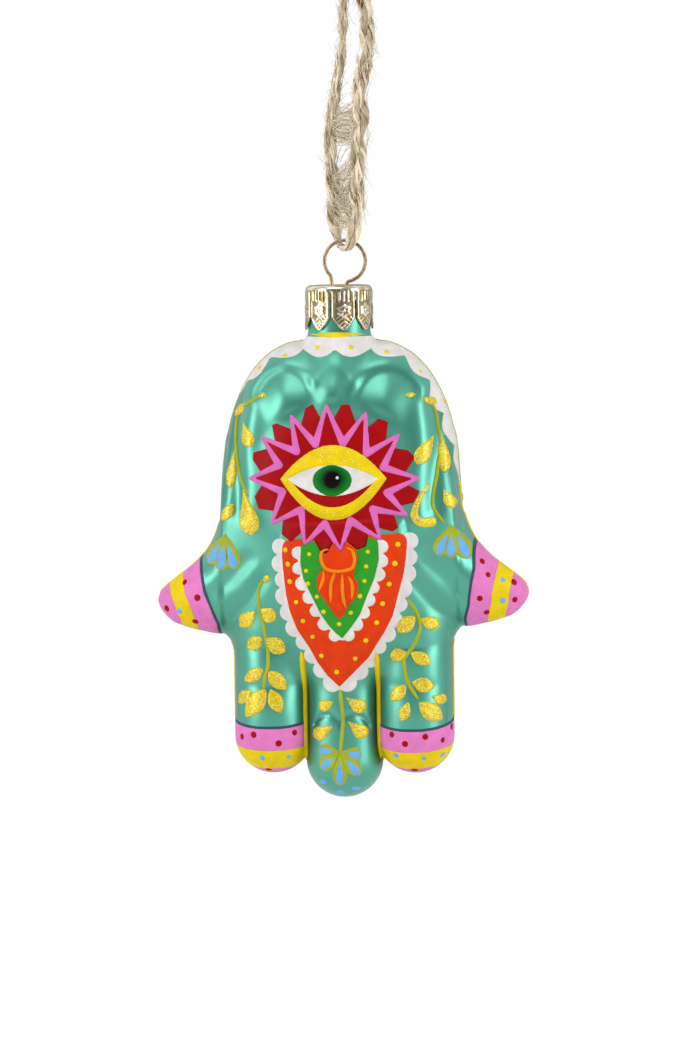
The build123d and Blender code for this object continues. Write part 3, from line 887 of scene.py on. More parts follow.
def laid(region, box, high, lift=0.0, edge=0.35, side=FRONT):
    """A coat of paint over a shape. Its edge is rounded."""
    step = 0.24
    a = np.arange(box[0] - step, box[1] + 2 * step, step)
    b = np.arange(box[2] - step, box[3] + 2 * step, step)
    grid = np.stack(np.meshgrid(a, b, indexing="ij"), -1).reshape(-1, 2)
    i, j = np.meshgrid(np.arange(len(a) - 1), np.arange(len(b) - 1), indexing="ij")
    k = (i * len(b) + j).reshape(-1)
    triangles = in_triangles(np.stack([k, k + len(b), k + len(b) + 1, k + 1], 1))
    flat, triangles, depth = cut(grid, triangles, -region(grid[:, 0], grid[:, 1]))
    base, normal = set_down(flat, side)
    t = np.clip(depth / edge, 0, 1)
    return closed_coat(base, normal, lift + high * np.sqrt(t * (2 - t)), triangles, COAT_SUNK)


def box_of(points, room=0.0):
    """The box round some points: least and most u, least and most v."""
    p = np.array(points)
    return p[:, 0].min() - room, p[:, 0].max() + room, p[:, 1].min() - room, p[:, 1].max() + room


def ring_across(way, hint, sides):
    """A ring of points round a direction, one millimetre out."""
    x = np.cross(way, hint)
    x /= np.linalg.norm(x)
    turn = (np.arange(sides) * 2 * math.pi / sides)[:, None]
    return np.cos(turn) * x + np.sin(turn) * np.cross(way, x)


def dots(places, radius, high, lift=0.0, side=FRONT):
    """Small round drops of paint."""
    sides = 10
    faces = [wall(3, sides), fan(3 * sides, sides, 2 * sides), fan(3 * sides + 1, sides, under=True)]
    bodies = []
    for p, n in zip(*set_down(np.array(places, float), side)):
        ring = ring_across(n, (0, 0, 1.0) if abs(n[2]) < 0.9 else (1.0, 0, 0), sides)
        ring = ring * (radius * (0.88 + 0.24 * chance.random()))
        foot, top = p - DOT_SUNK * n, p + (lift + high) * n
        shoulder = p + (lift + 0.7 * high) * n + ring * 0.72
        bodies.append((np.vstack([foot + ring, p + lift * n + ring, shoulder, top, foot]), np.vstack(faces)))
    return bodies


def line_on(points, radius, side=FRONT, lift=0.0):
    """A raised line of paint on the glass, thinner at its ends."""
    base, normal = set_down(flowing(points, 0.5), side)
    count = np.arange(len(base))
    taper = np.minimum(1, 0.35 + np.minimum(count, count[::-1]) * 0.25)
    return tube(base + normal * lift, radius * taper)


def band(tests, high):
    """A coat right round the glass, where every test is above zero."""
    points = np.hstack([skin_points, skin_normals])
    triangles = in_triangles(skin_quads)
    for test in tests:
        points, triangles, _ = cut(points, triangles, test(*points[:, :3].T))
    normal = points[:, 3:] / np.linalg.norm(points[:, 3:], axis=1)[:, None] * (1, 1, -1)
    return closed_coat(to_frame(points[:, :3]), normal, high, triangles, BAND_SUNK)


painted = {}


def put(colour, *bodies):
    """Keeps painted bodies under their colour until the end."""
    painted.setdefault(colour, []).extend(bodies)


print("paint tools ready")

# %% [markdown]
# The burst round the eye has a dark red ground with square petals, and a pink zigzag is brushed over it.
# Both leave the eye free, so the eye's paint meets the glass and not two coats.

# %% burst
burst_box = (-17.5, 17.5, BURST_V - 15.5, BURST_V + 15.5)
put("dark red", laid(without(burst_ground, grown(lids, -0.6)), burst_box, 0.14))
put("hot pink", laid(without(burst_zigzag, grown(lids, -0.4)), burst_box, 0.16, lift=0.10))
print("burst laid")

# %% [markdown]
# The eye is painted from the ground up: yellow lids, a dark red lower lid, the white, a green iris, a
# black pupil, and a white dot on the pupil that is a painted highlight.

# %% eye
eye_box = (-11, 11, EYE_V - 7, EYE_V + 9)
put("yellow", laid(without(lids, grown(any_of(white_of_eye, lower_lid), -0.3)), eye_box, 0.26, lift=0.08))
put("dark red", laid(without(lower_lid, grown(white_of_eye, -0.25)), eye_box, 0.16, lift=0.06))
put("white", laid(white_of_eye, eye_box, 0.16, lift=0.10))
iris, pupil = oval(-0.1, EYE_V + 0.25, 3.9, 3.1), oval(-0.1, EYE_V + 0.1, 1.65, 1.7)
put("iris green", laid(iris, (-4.2, 4, EYE_V - 3.2, EYE_V + 3.6), 0.16, lift=0.18))
put("black", laid(pupil, (-2.2, 2, EYE_V - 2, EYE_V + 2.3), 0.14, lift=0.30))
# This white dot on the pupil is a painted highlight.
put("white", *dots([(0.95, EYE_V - 0.25)], 0.32, 0.12, lift=0.40))
print("eye laid")

# %% [markdown]
# The bib hangs under the burst like a piece of needlework: white lace, an orange red band, white lace
# again, green, and an orange red tassel. The scallops of the lace are single touches of a round brush, so
# each is a disc.

# %% bib
BIB_CORNER = 1.4


def under_burst(region, level):
    """The part of a shape below the burst and below a line that rises to the right. Its corners are round."""

    def cut_off(a, b):
        side, top = region(a, b) + BIB_CORNER, level - 0.05 * a - b + BIB_CORNER
        past = np.hypot(np.maximum(side, 0), np.maximum(top, 0))
        rounded = past + np.minimum(np.maximum(side, top), 0) - BIB_CORNER
        return np.maximum(rounded, -burst_all(a, b))

    return cut_off


def lace(shape, margin, level, edges, radius, out):
    """A strip round a shape with scallops along its left and its right edge."""
    rows = [without(round_beads(line, spacing, radius, sign * out), burst_all)
            for sign, (line, spacing) in zip((-1, 1), edges)]
    return any_of(under_burst(grown(shape, margin), level), *rows)


outer_lace = lace(bib, 0.8, 40.4, [(bib_left, 3.1), (bib_right, 3.0)], 1.75, 0.5)
put("white", laid(outer_lace, (-13.4, 17.4, 36.5, 72.0), 0.16))
put("orange red", laid(under_burst(bib, 39.0), (-11.5, 15.2, 37.5, 69.6), 0.18, lift=0.10))
inner_lace = lace(bib_middle, 0.55, 41.2, [(green_left, 2.7), (green_right, 2.7)], 1.45, 0.4)
put("white", laid(inner_lace, (-9.2, 11.2, 38.0, 61.6), 0.16, lift=0.22))
put("green", laid(under_burst(bib_middle, 39.5), (-7.4, 9.4, 38.0, 59.8), 0.16, lift=0.32))
put("orange red", laid(without(tassel, burst_all), (-4, 5.2, 38.5, 56), 0.20, lift=0.42))
for line in (
    [(-1.0, 41.2), (-2.2, 41.8), (-2.4, 43.5), (-1.4, 45.2), (0.8, 45.7), (3.2, 45.2), (3.9, 43.5),
     (3.5, 41.6), (2.6, 40.9)],
    [(-1.9, 45.7), (-2.3, 47.6), (-2.9, 49.6)],
    [(0.2, 45.7), (-0.7, 48.6), (-0.8, 51.8)],
    [(1.6, 46.2), (1.6, 50.1), (1.9, 53.0)],
    [(2.7, 46.7), (3.5, 48.6), (3.2, 51.1)],
):
    put("orange", line_on(line, 0.36, lift=0.58))
put("yellow", *dots([
    (-9.6, 41.5), (-9.2, 44.3), (-8.9, 47.8), (-7.8, 51.9), (-6.6, 55.7), (-4.8, 58.9), (-3.2, 62.8),
    (-0.3, 66.1), (3.4, 63.4), (5.7, 59.7), (8.0, 56.1), (9.3, 52.3), (10.7, 48.4), (11.9, 44.3),
    (12.6, 40.5)], 0.52, 0.2, lift=0.26))
put("yellow", *dots([
    (-4.9, 42.3), (-5.6, 45.6), (-5.3, 48.2), (-3.6, 50.8), (-2.4, 53.8), (0.6, 56.3), (3.0, 54.0),
    (4.9, 50.7), (5.9, 47.7), (6.3, 44.8), (6.7, 41.9)], 0.48, 0.2, lift=0.46))
print("bib laid")

# %% [markdown]
# Vines run down both sides of the palm and down the fingers. Each stem is one pull of the brush, and the
# leaves are yellow paint strewn with glitter. The back was not to be seen, so it repeats the vines of the
# front.

# %% vines
stems = [
    [(-14.1, 47.4), (-15.2, 48.5), (-15.9, 50.6), (-15.5, 54.2), (-15.0, 56.7), (-14.5, 59.9),
     (-14.2, 62.8), (-14.3, 65.5), (-14.9, 67.4), (-15.2, 69.2), (-15.4, 70.6)],
    [(0.1, 69.4), (0.3, 72.0), (0.6, 75.1), (0.5, 77.9), (0.2, 80.5), (0.0, 83.2)],
    [(13.8, 51.4), (15.1, 53.3), (15.9, 54.9), (16.4, 57.3), (15.7, 59.7), (14.6, 61.6), (13.1, 63.6),
     (13.1, 65.5), (13.4, 67.2), (14.0, 68.9), (15.8, 71.8)],
    [(-14.0, 10.8), (-15.4, 11.4), (-17.1, 12.4), (-18.9, 13.6), (-20.0, 15.2), (-20.3, 17.3), (-20.3, 19.1),
     (-20.1, 21.7), (-19.6, 24.9), (-18.8, 28.0), (-18.2, 29.2), (-17.1, 31.0)],
    [(17.3, 12.0), (18.8, 13.0), (19.7, 15.0), (20.1, 17.5), (20.6, 19.8), (20.7, 22.0), (20.3, 24.7),
     (20.0, 27.6), (19.4, 30.5), (19.3, 33.2), (20.5, 35.3), (21.6, 36.7)],
]
for line in stems:
    put("leaf green", *(line_on(line, 0.42, side=side, lift=-0.1) for side in FACES))
leaves = [
    ((-14.9, 48.2), (-13.3, 46.9), 1.2, 0.4), ((-16.4, 54.0), (-20.1, 57.3), 2.7, 0.4),
    ((-15.6, 53.5), (-12.3, 55.8), 2.7, 0.4), ((-15.2, 59.4), (-18.6, 61.6), 2.5, 0.2),
    ((-14.6, 59.4), (-10.8, 62.4), 2.9, 0.3), ((-15.2, 65.7), (-19.3, 68.3), 2.3, 0.1),
    ((-14.2, 66.1), (-10.7, 70.0), 2.6, 0.1), ((-17.8, 69.9), (-20.7, 72.9), 2.1, 0.2),
    ((-14.8, 69.7), (-19.1, 75.5), 3.2, 0.1), ((-13.9, 69.7), (-11.8, 74.5), 2.5, 0.2),
    ((-1.0, 72.2), (-4.4, 73.6), 2.1, 0.7), ((1.2, 71.4), (5.0, 74.2), 2.4, 0.8),
    ((-1.2, 77.1), (-5.6, 79.5), 2.4, 0.8), ((1.5, 76.2), (5.2, 79.4), 2.4, 0.8),
    ((15.5, 55.1), (11.8, 58.3), 2.7, 0.2), ((16.2, 55.6), (20.0, 57.4), 2.3, 0.4),
    ((14.2, 62.6), (10.1, 63.2), 2.3, 0.5), ((14.4, 62.4), (18.3, 64.8), 2.2, 0.2),
    ((13.4, 68.9), (10.2, 72.2), 2.3, 0.2), ((14.5, 68.4), (18.9, 69.5), 2.5, 0.2),
    ((18.4, 71.2), (21.0, 72.5), 1.9, 0.5), ((13.9, 72.2), (12.3, 76.2), 2.0, 0.3),
    ((15.9, 72.3), (20.2, 76.2), 2.9, 0.2), ((-15.7, 11.5), (-13.8, 10.8), 0.9, 0.4),
    ((-18.3, 12.6), (-20.8, 15.5), 1.4, 0.2), ((-18.6, 16.2), (-16.9, 21.4), 2.3, 0.8),
    ((-20.4, 21.5), (-21.3, 29.6), 1.8, 0.8), ((-20.4, 32.5), (-23.1, 36.0), 1.9, 0.2),
    ((-18.4, 29.2), (-16.7, 38.8), 3.5, 1.0), ((16.0, 11.2), (14.0, 11.3), 0.9, 0.4),
    ((17.1, 11.8), (19.8, 13.1), 1.3, 0.5), ((19.6, 19.0), (16.4, 24.9), 2.6, 0.8),
    ((20.5, 18.2), (21.8, 26.8), 2.0, 0.9), ((21.3, 29.9), (23.3, 33.8), 1.9, 0.5),
]
glitter_regions = []
for base, tip, width, blunt in leaves:
    outline = leaf(base, tip, width * 1.2, blunt)
    glitter_regions.append((polygon(outline), box_of(outline)))
hook = [(18.5, 29.1), (16.8, 31.8), (15.8, 34.9), (17.2, 36.4), (19.0, 36.3)]
glitter_regions.append((stroke(flowing(hook, 0.5), 0.5, 2.1), box_of(hook, 1.2)))
for region, box in glitter_regions:
    put("glitter", *(laid(region, box, 0.30, lift=0.04, edge=0.5, side=side) for side in FACES))
print(len(glitter_regions), "leaves laid")

# %% [markdown]
# Three flowers close the vines of each face: one on the middle finger and one on each thumb. A petal is a
# leaf of green with a smaller one of sky blue on it, which leaves the green as a rim.

# %% flowers
flowers = [
    ((0.0, 82.2), [(-4.5, 82.2), (-4.2, 86.0), (-0.3, 89.4), (3.7, 87.2), (4.1, 83.2)], 2.6),
    ((-22.2, 38.4), [(-26.2, 44.9), (-23.6, 46.2), (-20.4, 45.9)], 3.0),
    ((22.8, 36.8), [(20.0, 43.2), (22.6, 43.8), (25.9, 44.0)], 2.8),
]
for base, tips, width in flowers:
    base = np.array(base)
    for tip in np.array(tips):
        rim = leaf(base, tip, width * 1.15, 0.75)
        fill = leaf(base * 0.75 + tip * 0.25, base * 0.04 + tip * 0.96, width * 0.62, 0.75)
        for side in FACES:
            put("leaf green", laid(polygon(rim), box_of(rim), 0.12, lift=0.03, side=side))
            put("sky blue", laid(polygon(fill), box_of(fill), 0.12, lift=0.12, side=side))
for at_u, at_v in ((-3.9, 88.6), (-0.5, 90.8), (2.7, 90.0)):
    put("sky blue", laid(oval(at_u, at_v, 0.95, 0.5), (at_u - 1, at_u + 1, at_v - 0.6, at_v + 0.6), 0.10))
print(len(flowers), "flowers laid")

# %% [markdown]
# The tips of thumbs and side fingers are dipped or turned against a brush: pink, yellow and pink, with a
# slate line where they begin and drops of red and blue on them. So the bands are cut from the skin, right
# round the glass.

# %% bands
round_front = lambda y: np.clip(-y, 0, FINGER_RADIUS) / FINGER_RADIUS
side_finger, thumb_end = 7.7, 62
thumb = lambda u, y, v: thumb_end - v
left_start = [43, 47.3, 50.5, 53.2, 57], [28.6, 27.8, 27.2, 26.1, 24.9]
right_start = [43, 46, 48.4, 51.3, 53.2, 56], [27.2, 27.3, 26.8, 26.3, 26.1, 25.2]
tips = [
    (lambda u, y, v: -u - side_finger, lambda u, y, v: v - 76.4 - 1.35 * round_front(y), 4.5, 8.8),
    (lambda u, y, v: u - side_finger, lambda u, y, v: v - 76.6 - 1.7 * round_front(y), 4.4, 8.5),
    (thumb, lambda u, y, v: -u - np.interp(v, *left_start), 4.0, 7.2),
    (thumb, lambda u, y, v: u - np.interp(v, *right_start), 4.1, 7.4),
]
for part, start, first, second in tips:
    past = lambda run, start=start: (lambda u, y, v: start(u, y, v) - run)
    short = lambda run, start=start: (lambda u, y, v: run - start(u, y, v))
    put("slate", band([part, past(-0.55), short(0.15)], 0.07))
    put("pink", band([part, past(0), short(first + 0.1)], 0.10))
    put("yellow", band([part, past(first), short(second)], 0.13))
    put("pink", band([part, past(second - 0.1)], 0.10))
red_dots = [
    (-31.3, 48.6), (-28.5, 51.5), (-29.3, 56.4), (-35.2, 53.9), (28.5, 44.6), (29.7, 47.2), (28.1, 51.8),
    (29.3, 54.7), (34.6, 48.9), (34.8, 52.3), (-20.0, 79.5), (-17.4, 78.9), (-9.4, 78.6), (-12.4, 80.6),
    (-15.0, 86.2), (10.3, 78.9), (13.0, 80.7), (17.0, 79.3), (20.2, 80.2), (21.7, 77.8), (14.4, 86.3)]
blue_dots = [
    (-32.4, 54.3), (32.5, 48.4), (32.5, 52.4), (-15.8, 83.6), (-10.7, 83.4), (11.0, 83.1), (16.6, 83.7),
    (20.0, 83.3)]
for side in FACES:
    put("dark red", *dots(red_dots, 0.64, 0.12, lift=0.10, side=side))
    put("sky blue", *dots(blue_dots, 0.58, 0.12, lift=0.13, side=side))
print(len(tips), "tips banded")

# %% [markdown]
# A white scalloped border follows the top edge of the hand and laps over to both faces, with a yellow dot
# in each scallop and a yellow line round the foot of the neck. Its width is a rule along the edge, cut
# from the skin.

# %% scalloped border
left_shares, right_shares = np.linspace(1, 0, 120) ** 0.35, np.linspace(0, 1, 120)[1:] ** 0.35
edge_u = np.concatenate([-PALM_HALF * left_shares, PALM_HALF * right_shares])
middle_slice, high_slice, _ = upright_slice(edge_u)
edge_v = np.maximum(middle_slice - high_slice, 0)
edge_run = np.concatenate([[0], np.cumsum(np.hypot(np.diff(edge_u), np.diff(edge_v)))])
edge_run -= np.interp(0.0, edge_u, edge_run)
border_low = 30
edge_turn = np.arctan2(edge_u, border_low - edge_v)


def border(u, y, v):
    """Above zero on the border. Scallops are about seven millimetres wide and die out sooner on the left."""
    run = np.interp(np.arctan2(u, border_low - v), edge_turn, edge_run)
    lobe = np.abs(np.sin(math.pi * run / 7.2)) ** 0.8
    wide = (3.5 + 2.2 * lobe) * step_up((np.where(u < 0, 27.5, 46.0) - np.abs(run)) / 8) - 0.4
    painted_on = np.maximum(wide - np.abs(y), 2.1 + 1.6 * lobe - v)
    return np.minimum.reduce([painted_on, border_low - v, v + 0.3, hand_distance(u, y, v) + 0.3])


put("white", band([border], 0.09))
edge_dots = [(-15.6, 5.8), (-10.3, 3.4), (-3.7, 1.8), (3.0, 1.8), (9.9, 2.9), (16.6, 6.8), (20.9, 12.8)]
for side in FACES:
    put("yellow", *dots(edge_dots, 0.5, 0.14, lift=0.08, side=side))
neck_line = lambda u, y, v: 0.5 * (1 - (u / 5.6) ** 2) - np.abs(v + 0.7)
on_neck = lambda u, y, v: 9 - np.hypot(u, y)
put("yellow", band([neck_line, on_neck], 0.10))
print("border runs", round(float(edge_run[-1]), 1), "mm to each side")

# %% [markdown]
# Yellow lines follow the grooves between the fingers and the seam that the two halves of the mould leave,
# and a green one follows the seam over the dome. A brush finds these edges by itself, so points near the
# seam are drawn to the surface before the line is made.

# %% grooves and seam
groove_u, groove_end = 7.45, 84.2
for side, start in ((FRONT, 62.2), (BACK, 66.5)):
    for at in (-groove_u, groove_u):
        groove = [(at, v) for v in np.linspace(start, groove_end, 9)]
        put("yellow", line_on(groove, 0.62, side=side, lift=-0.1))


def seam(points):
    """A thin line along the edge of the hand, drawn to the surface from points near it."""
    p = np.insert(flowing(points, 0.6), 1, 0.0, axis=1)
    for _ in range(6):
        p = p - hand_distance(*p.T)[:, None] * normal_at(hand_distance, p)
    return tube(to_frame(p), 0.26, 6)


thumb_crest = [(23.9, 22), (24.3, 18), (26, 13), (28.6, 9.2), (31.6, 6.0), (34.6, 3.6), (36.8, 1.4)]
for sign, tip in ((-1, TIP_LEFT), (1, TIP_RIGHT)):
    upper = [(sign * a, tip - b) for a, b in thumb_crest]
    outer = [(sign * 22.0, v) for v in np.linspace(60.5, 76.0, 6)]
    put("yellow", seam(upper), seam(outer))
    crest = (sign * edge_u > 7.2) & (np.abs(edge_u) < 23.8)
    put("leaf green", seam(np.stack([edge_u, edge_v], 1)[crest][:: sign * 4]))
print("grooves and seam drawn")

# %% [markdown]
# The flakes of glitter lie on the leaves and on the eyelids. Each is cut from foil with six sides and
# lies tilted its own way, which is why glitter sparkles, so each is a small body of its own.

# %% glitter flakes
def flakes(region, box, share, size, lift, side=FRONT):
    """Thin six-sided flakes over a shape, so many to a square millimetre."""
    inset, tilt, half_thick = 0.12, 0.35, 0.03
    count = int((box[1] - box[0]) * (box[3] - box[2]) * share)
    flat = np.stack([chance.uniform(*box[:2], count), chance.uniform(*box[2:], count)], 1)
    flat = flat[region(flat[:, 0], flat[:, 1]) < -inset]
    faces = np.vstack([fan(6, 6), fan(7, 6, under=True)])
    bodies = []
    for p, n in zip(*set_down(flat, side)) if len(flat) else ():
        n = n + chance.normal(0, tilt, 3)
        n /= np.linalg.norm(n)
        ring = ring_across(n, chance.normal(0, 1, 3), 6)
        ring = size * (0.7 + 0.6 * chance.random()) * ring
        middle = p + n * lift
        bodies.append((np.vstack([middle + ring, middle + half_thick * n, middle - half_thick * n]), faces))
    return bodies


for region, box in glitter_regions:
    put("flake", *flakes(region, box, 3.0, 0.15, 0.36), *flakes(region, box, 2.0, 0.15, 0.36, BACK))
ring_of_lids = without(lids, grown(any_of(white_of_eye, lower_lid), 0.1))
put("flake", *flakes(ring_of_lids, eye_box, 2.2, 0.13, 0.36))
print(len(painted["flake"]), "flakes")

# %% [markdown]
# All the paint of one colour comes from one pot, so it is one piece with one finish. Every coat rides the
# hand.

# %% put the paint on
for colour, bodies in painted.items():
    made = piece("paint_" + colour.replace(" ", "_"), bodies, paint[colour], "hand")
    print(made.name, len(made.data.polygons), "faces")

# %% [markdown]
# ## The cap
# The cap is pressed from one sheet, and its wall is cut into eight petals, each stamped with a leaf edge,
# a small flower and veins. So plate, rounded edge and wall are one strip turned round the neck. The
# stamping moves its points, the slits and the two holes for the wire are cut out, and it is then given
# the thickness of the sheet.

# %% cap
CAP_TOP = -65.0
CAP_RADIUS = 6.65
CAP_EDGE = 1.0
CAP_HEIGHT = 8.8
CAP_SHEET = 0.25
PETALS = 8
PETAL_TURN = math.radians(15)
SLIT_START, TIP_START, FLOWER_AT = 2.8, 5.6, 4.9
LEG_X, LEG_HOLE = 1.5, 0.52
petal_pitch = 2 * math.pi * CAP_RADIUS / PETALS


def petal_half(below):
    """Half the width of a petal, from where the slits begin to its tip."""
    slit = 0.42 * petal_pitch * (1 - np.clip((below - TIP_START) / 3.2, 0, 1) ** 1.5) + 0.15
    narrow = np.minimum(slit + 0.06 * petal_pitch, petal_pitch / 2 - 0.14)
    return np.where(below < SLIT_START, petal_pitch, narrow)


def stamped(s, below):
    """Height of the stamping on a petal."""
    edge = petal_half(np.maximum(below, 2.9)) - np.abs(s)
    rim = 0.13 * bell((edge - 0.38) / 0.17) - 0.12 * step_up((0.24 - edge) / 0.2)
    rise = rim * step_up((below - 1.0) / 0.4)
    flower = np.hypot(s, below - FLOWER_AT)
    outline = flower - 0.95 - 0.14 * np.cos(6 * np.arctan2(s, below - FLOWER_AT))
    rise += 0.16 * bell(outline / 0.2) + 0.17 * bell(flower / 0.34)
    veins = np.sin(2 * math.pi * (below - 0.75 * np.abs(s)) / 0.85)
    rise += 0.07 * veins * step_up((below - 6.0) / 0.5) * step_up((edge - 0.45) / 0.3)
    flutes = 0.09 * np.cos(2 * math.pi * s * 6 / petal_pitch) * step_up((edge - 0.5) / 0.3)
    return rise + flutes * step_up((below - 0.9) / 0.4) * step_up((3.4 - below) / 0.6)


around = 240
plate = [(r, 0.0, 0.0, 1.0) for r in np.linspace(0.35, CAP_RADIUS - CAP_EDGE, 20)]
arc = [(math.cos(a), math.sin(a)) for a in np.linspace(math.pi / 2, 0, 9)[1:]]
edge = [(CAP_RADIUS - CAP_EDGE + CAP_EDGE * c, CAP_EDGE * (1 - s), c, s) for c, s in arc]
skirt = [(CAP_RADIUS + 0.1 * max(0, (b - SLIT_START) / 6) ** 2, b, 1.0, 0.0)
         for b in np.linspace(CAP_EDGE, CAP_HEIGHT, 50)[1:]]
rows = np.array(plate + edge + skirt)
out, below, n_out, n_up = (np.repeat(rows[:, k], around) for k in range(4))
turn = np.tile(np.arange(around) * 2 * math.pi / around, len(rows))
s = ((turn - PETAL_TURN + math.pi / PETALS) % (2 * math.pi / PETALS) - math.pi / PETALS) * CAP_RADIUS
on_wall = below >= 0.85
plate_rings = 0.05 * np.cos(2 * math.pi * out / 2.4) * (below == 0)
emboss = np.where(on_wall, stamped(s, np.maximum(below, 0)), plate_rings)
across, along = np.cos(turn), np.sin(turn)
strip = np.stack([out * across, out * along, -below, n_out * across, n_out * along, n_up, emboss], 1)
strip = np.vstack([strip, (0, 0, 0, 0, 0, 1, 0.05)])
sheet_faces = np.vstack([wall(len(rows), around), fan(len(strip) - 1, around, under=True)])
holes = np.minimum(*(np.hypot(strip[:, 0] - x, strip[:, 1]) for x in (LEG_X, -LEG_X))) - LEG_HOLE
value = np.where(strip[:, 2] > -0.5, holes, 1.0)
value[:-1] = np.minimum(value[:-1], np.where(on_wall, petal_half(below) - np.abs(s), 1.0))
strip, sheet_faces, _ = cut(strip, sheet_faces, value)
place = strip[:, :3] + (AXIS_X, 0, CAP_TOP)
cap_body = closed_coat(place, strip[:, 3:6], strip[:, 6], sheet_faces, CAP_SHEET)
cap_hollow = np.tile(np.clip(0.40 - 5.0 * strip[:, 6], 0, 0.75) * (strip[:, 2] < -0.9), 2)
cap = piece("cap_plate", [cap_body], metal["tinplate"], "hanger", {"hollow": cap_hollow})
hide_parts("crown_cap")
print("cap has", len(cap.data.polygons), "faces")

# %% [markdown]
# ## The wire
# One length of spring wire is bent round a pin for the ring, and its two legs go through the plate and
# spread inside the neck, which holds the cap down. So it is one tube along legs, bends and ring, in the
# upright plane y = 0.

# %% wire
WIRE = 0.7
RING_X, RING_Z, RING_RADIUS = -1.9, -60.25, 4.1
LEG_BEND = 0.9


def wire_half(sign):
    """One leg and the bend that leads it into the ring, and the ring's angle there."""
    middle_x = AXIS_X + sign * (LEG_X + LEG_BEND)
    middle_z = RING_Z - math.sqrt((RING_RADIUS + LEG_BEND) ** 2 - (middle_x - RING_X) ** 2)
    meet = math.atan2(middle_z - RING_Z, middle_x - RING_X)
    leg = ((6.6, -81.0), (4.7, -77.2), (3.0, -71.0), (LEG_X, -65.7), (LEG_X, middle_z))
    leg = flowing([(AXIS_X + sign * a, z) for a, z in leg], 0.4)
    angles = np.linspace(math.pi if sign > 0 else 0, meet + math.pi, 8)[1:]
    bend = np.stack([middle_x + LEG_BEND * np.cos(angles), middle_z + LEG_BEND * np.sin(angles)], 1)
    return np.vstack([leg, bend]), meet


left, left_meet = wire_half(-1)
right, right_meet = wire_half(1)
sweep = np.linspace(left_meet + 2 * math.pi, right_meet, 90)[1:-1]
ring = np.stack([RING_X + RING_RADIUS * np.cos(sweep), RING_Z + RING_RADIUS * np.sin(sweep)], 1)
route = np.vstack([left, ring, right[::-1]])
wire_body = tube(np.insert(route, 1, 0.0, axis=1), WIRE / 2, 12)
wire = piece("ring_wire", [wire_body], metal["brass wire"], "hanger")
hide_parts("hanger_wire")
print("wire is", round(float(run_along(route)[-1]), 1), "mm long")

# %% [markdown]
# ## The twine
# The loop is jute twine, threaded through the ring and knotted above the view. It follows a smooth line
# by the points of the solid part. Near the ring the points are moved to where the photograph has the
# strands, and far enough apart for the ring to swing.

# %% twine line
TWINE = 1.9
CLEAR_OF_RING = -50.5
twine_route = [
    (-1.15, 0, 3.0), (-1.15, 0, -2.5), (-1.65, 0.30, -10.5), (-2.05, 0.55, -18.5), (-3.20, 0.75, -26.0),
    (-4.70, 1.00, -32.0), (-4.60, 1.20, -38.5), (-4.25, 1.60, -45.5), (-4.50, 2.40, -50.3),
    (-3.95, 3.00, -54.2), (-3.25, 2.50, -57.6), (-0.60, -2.60, -57.6), (0.45, -3.30, -54.2),
    (1.20, -2.50, -50.6), (0.85, -1.50, -46.0), (1.15, -1.25, -40.5), (1.80, -1.05, -35.0),
    (1.50, -0.85, -29.5), (2.00, -0.65, -24.0), (3.25, -0.45, -18.5), (3.15, -0.30, -12.0),
    (2.20, -0.15, -6.5), (1.15, 0, -2.0), (1.15, 0, 3.0),
]
curve = bpy.data.curves.new("twine line", "CURVE")
curve.dimensions = "3D"
spline = curve.splines.new("NURBS")
spline.points.add(len(twine_route) - 1)
for point, place in zip(spline.points, twine_route):
    point.co = (*(np.array(place) * MM), 1)
spline.order_u = 3
spline.use_endpoint_u = True
spline.resolution_u = 24
holder = shown("twine line", curve)
bpy.context.view_layer.update()
plain = bpy.data.meshes.new_from_object(holder)
twine_line = np.array([v.co for v in plain.vertices]) / MM
bpy.data.objects.remove(holder)
twine_run = run_along(twine_line)
print("twine line is", round(float(twine_run[-1]), 1), "mm long")

# %% [markdown]
# Two plies are laid round that line. Each ply is a bundle of slivers, loosely twisted the other way,
# which is what holds twine together, and each sliver has its own tone. The loop is thin where it bears on
# the ring. Loose fibres stand off it, and some cross from strand to strand.

# %% twine plies
def drift(count, span, size):
    """A slowly wandering row of values."""
    knots = max(4, count // span)
    return np.interp(np.arange(count), np.linspace(0, count - 1, knots), chance.normal(0, size, knots))


def plies(line, thick, pitch, shares=(0,)):
    """Two loosely twisted plies along a line, a streak for each of their points, and the line's frame."""
    slivers, step = 7, 0.35
    long = run_along(line)[-1]
    at = np.linspace(0, long, max(6, int(long / step)))
    middle = points_at(line, at)
    ahead, out, over = carried(middle, (0.2, 0.9, 0.3))
    radius = np.interp(at / at[-1], shares, thick) / 2
    bodies, streaks = [], []
    for ply in range(2):
        turn = 2 * math.pi * at / pitch + ply * math.pi + drift(len(at), 12, 0.25)
        ply_out = (0.42 * radius * (1 + drift(len(at), 14, 0.10)))[:, None]
        centre = middle + ply_out * (np.cos(turn)[:, None] * out + np.sin(turn)[:, None] * over)
        for sliver in range(slivers + 1):
            own = -2 * math.pi * at / (0.7 * pitch) + sliver * 2 * math.pi / slivers
            own = own + drift(len(at), 10, 0.25)
            away = (0.0 if sliver == slivers else 0.39) * radius * (1 + drift(len(at), 8, 0.16))
            line_of = centre + away[:, None] * (np.cos(own)[:, None] * out + np.sin(own)[:, None] * over)
            bodies.append(tube(line_of, 0.2 * radius * (1 + np.clip(drift(len(at), 6, 0.2), -0.4, 0.4)), 6))
            tone = chance.uniform(-0.3, 0.25) + drift(len(at), 16, 0.16)
            streaks.append(np.concatenate([np.repeat(tone, 6), tone[:1], tone[-1:]]))
    return bodies, streaks, (middle, ahead, out, over, radius)


def jute_piece(name, bodies, streaks):
    """Twine or fibres, each point with its streak of tone."""
    return piece(name, bodies, jute, "twine", {"streak": np.concatenate(streaks)})


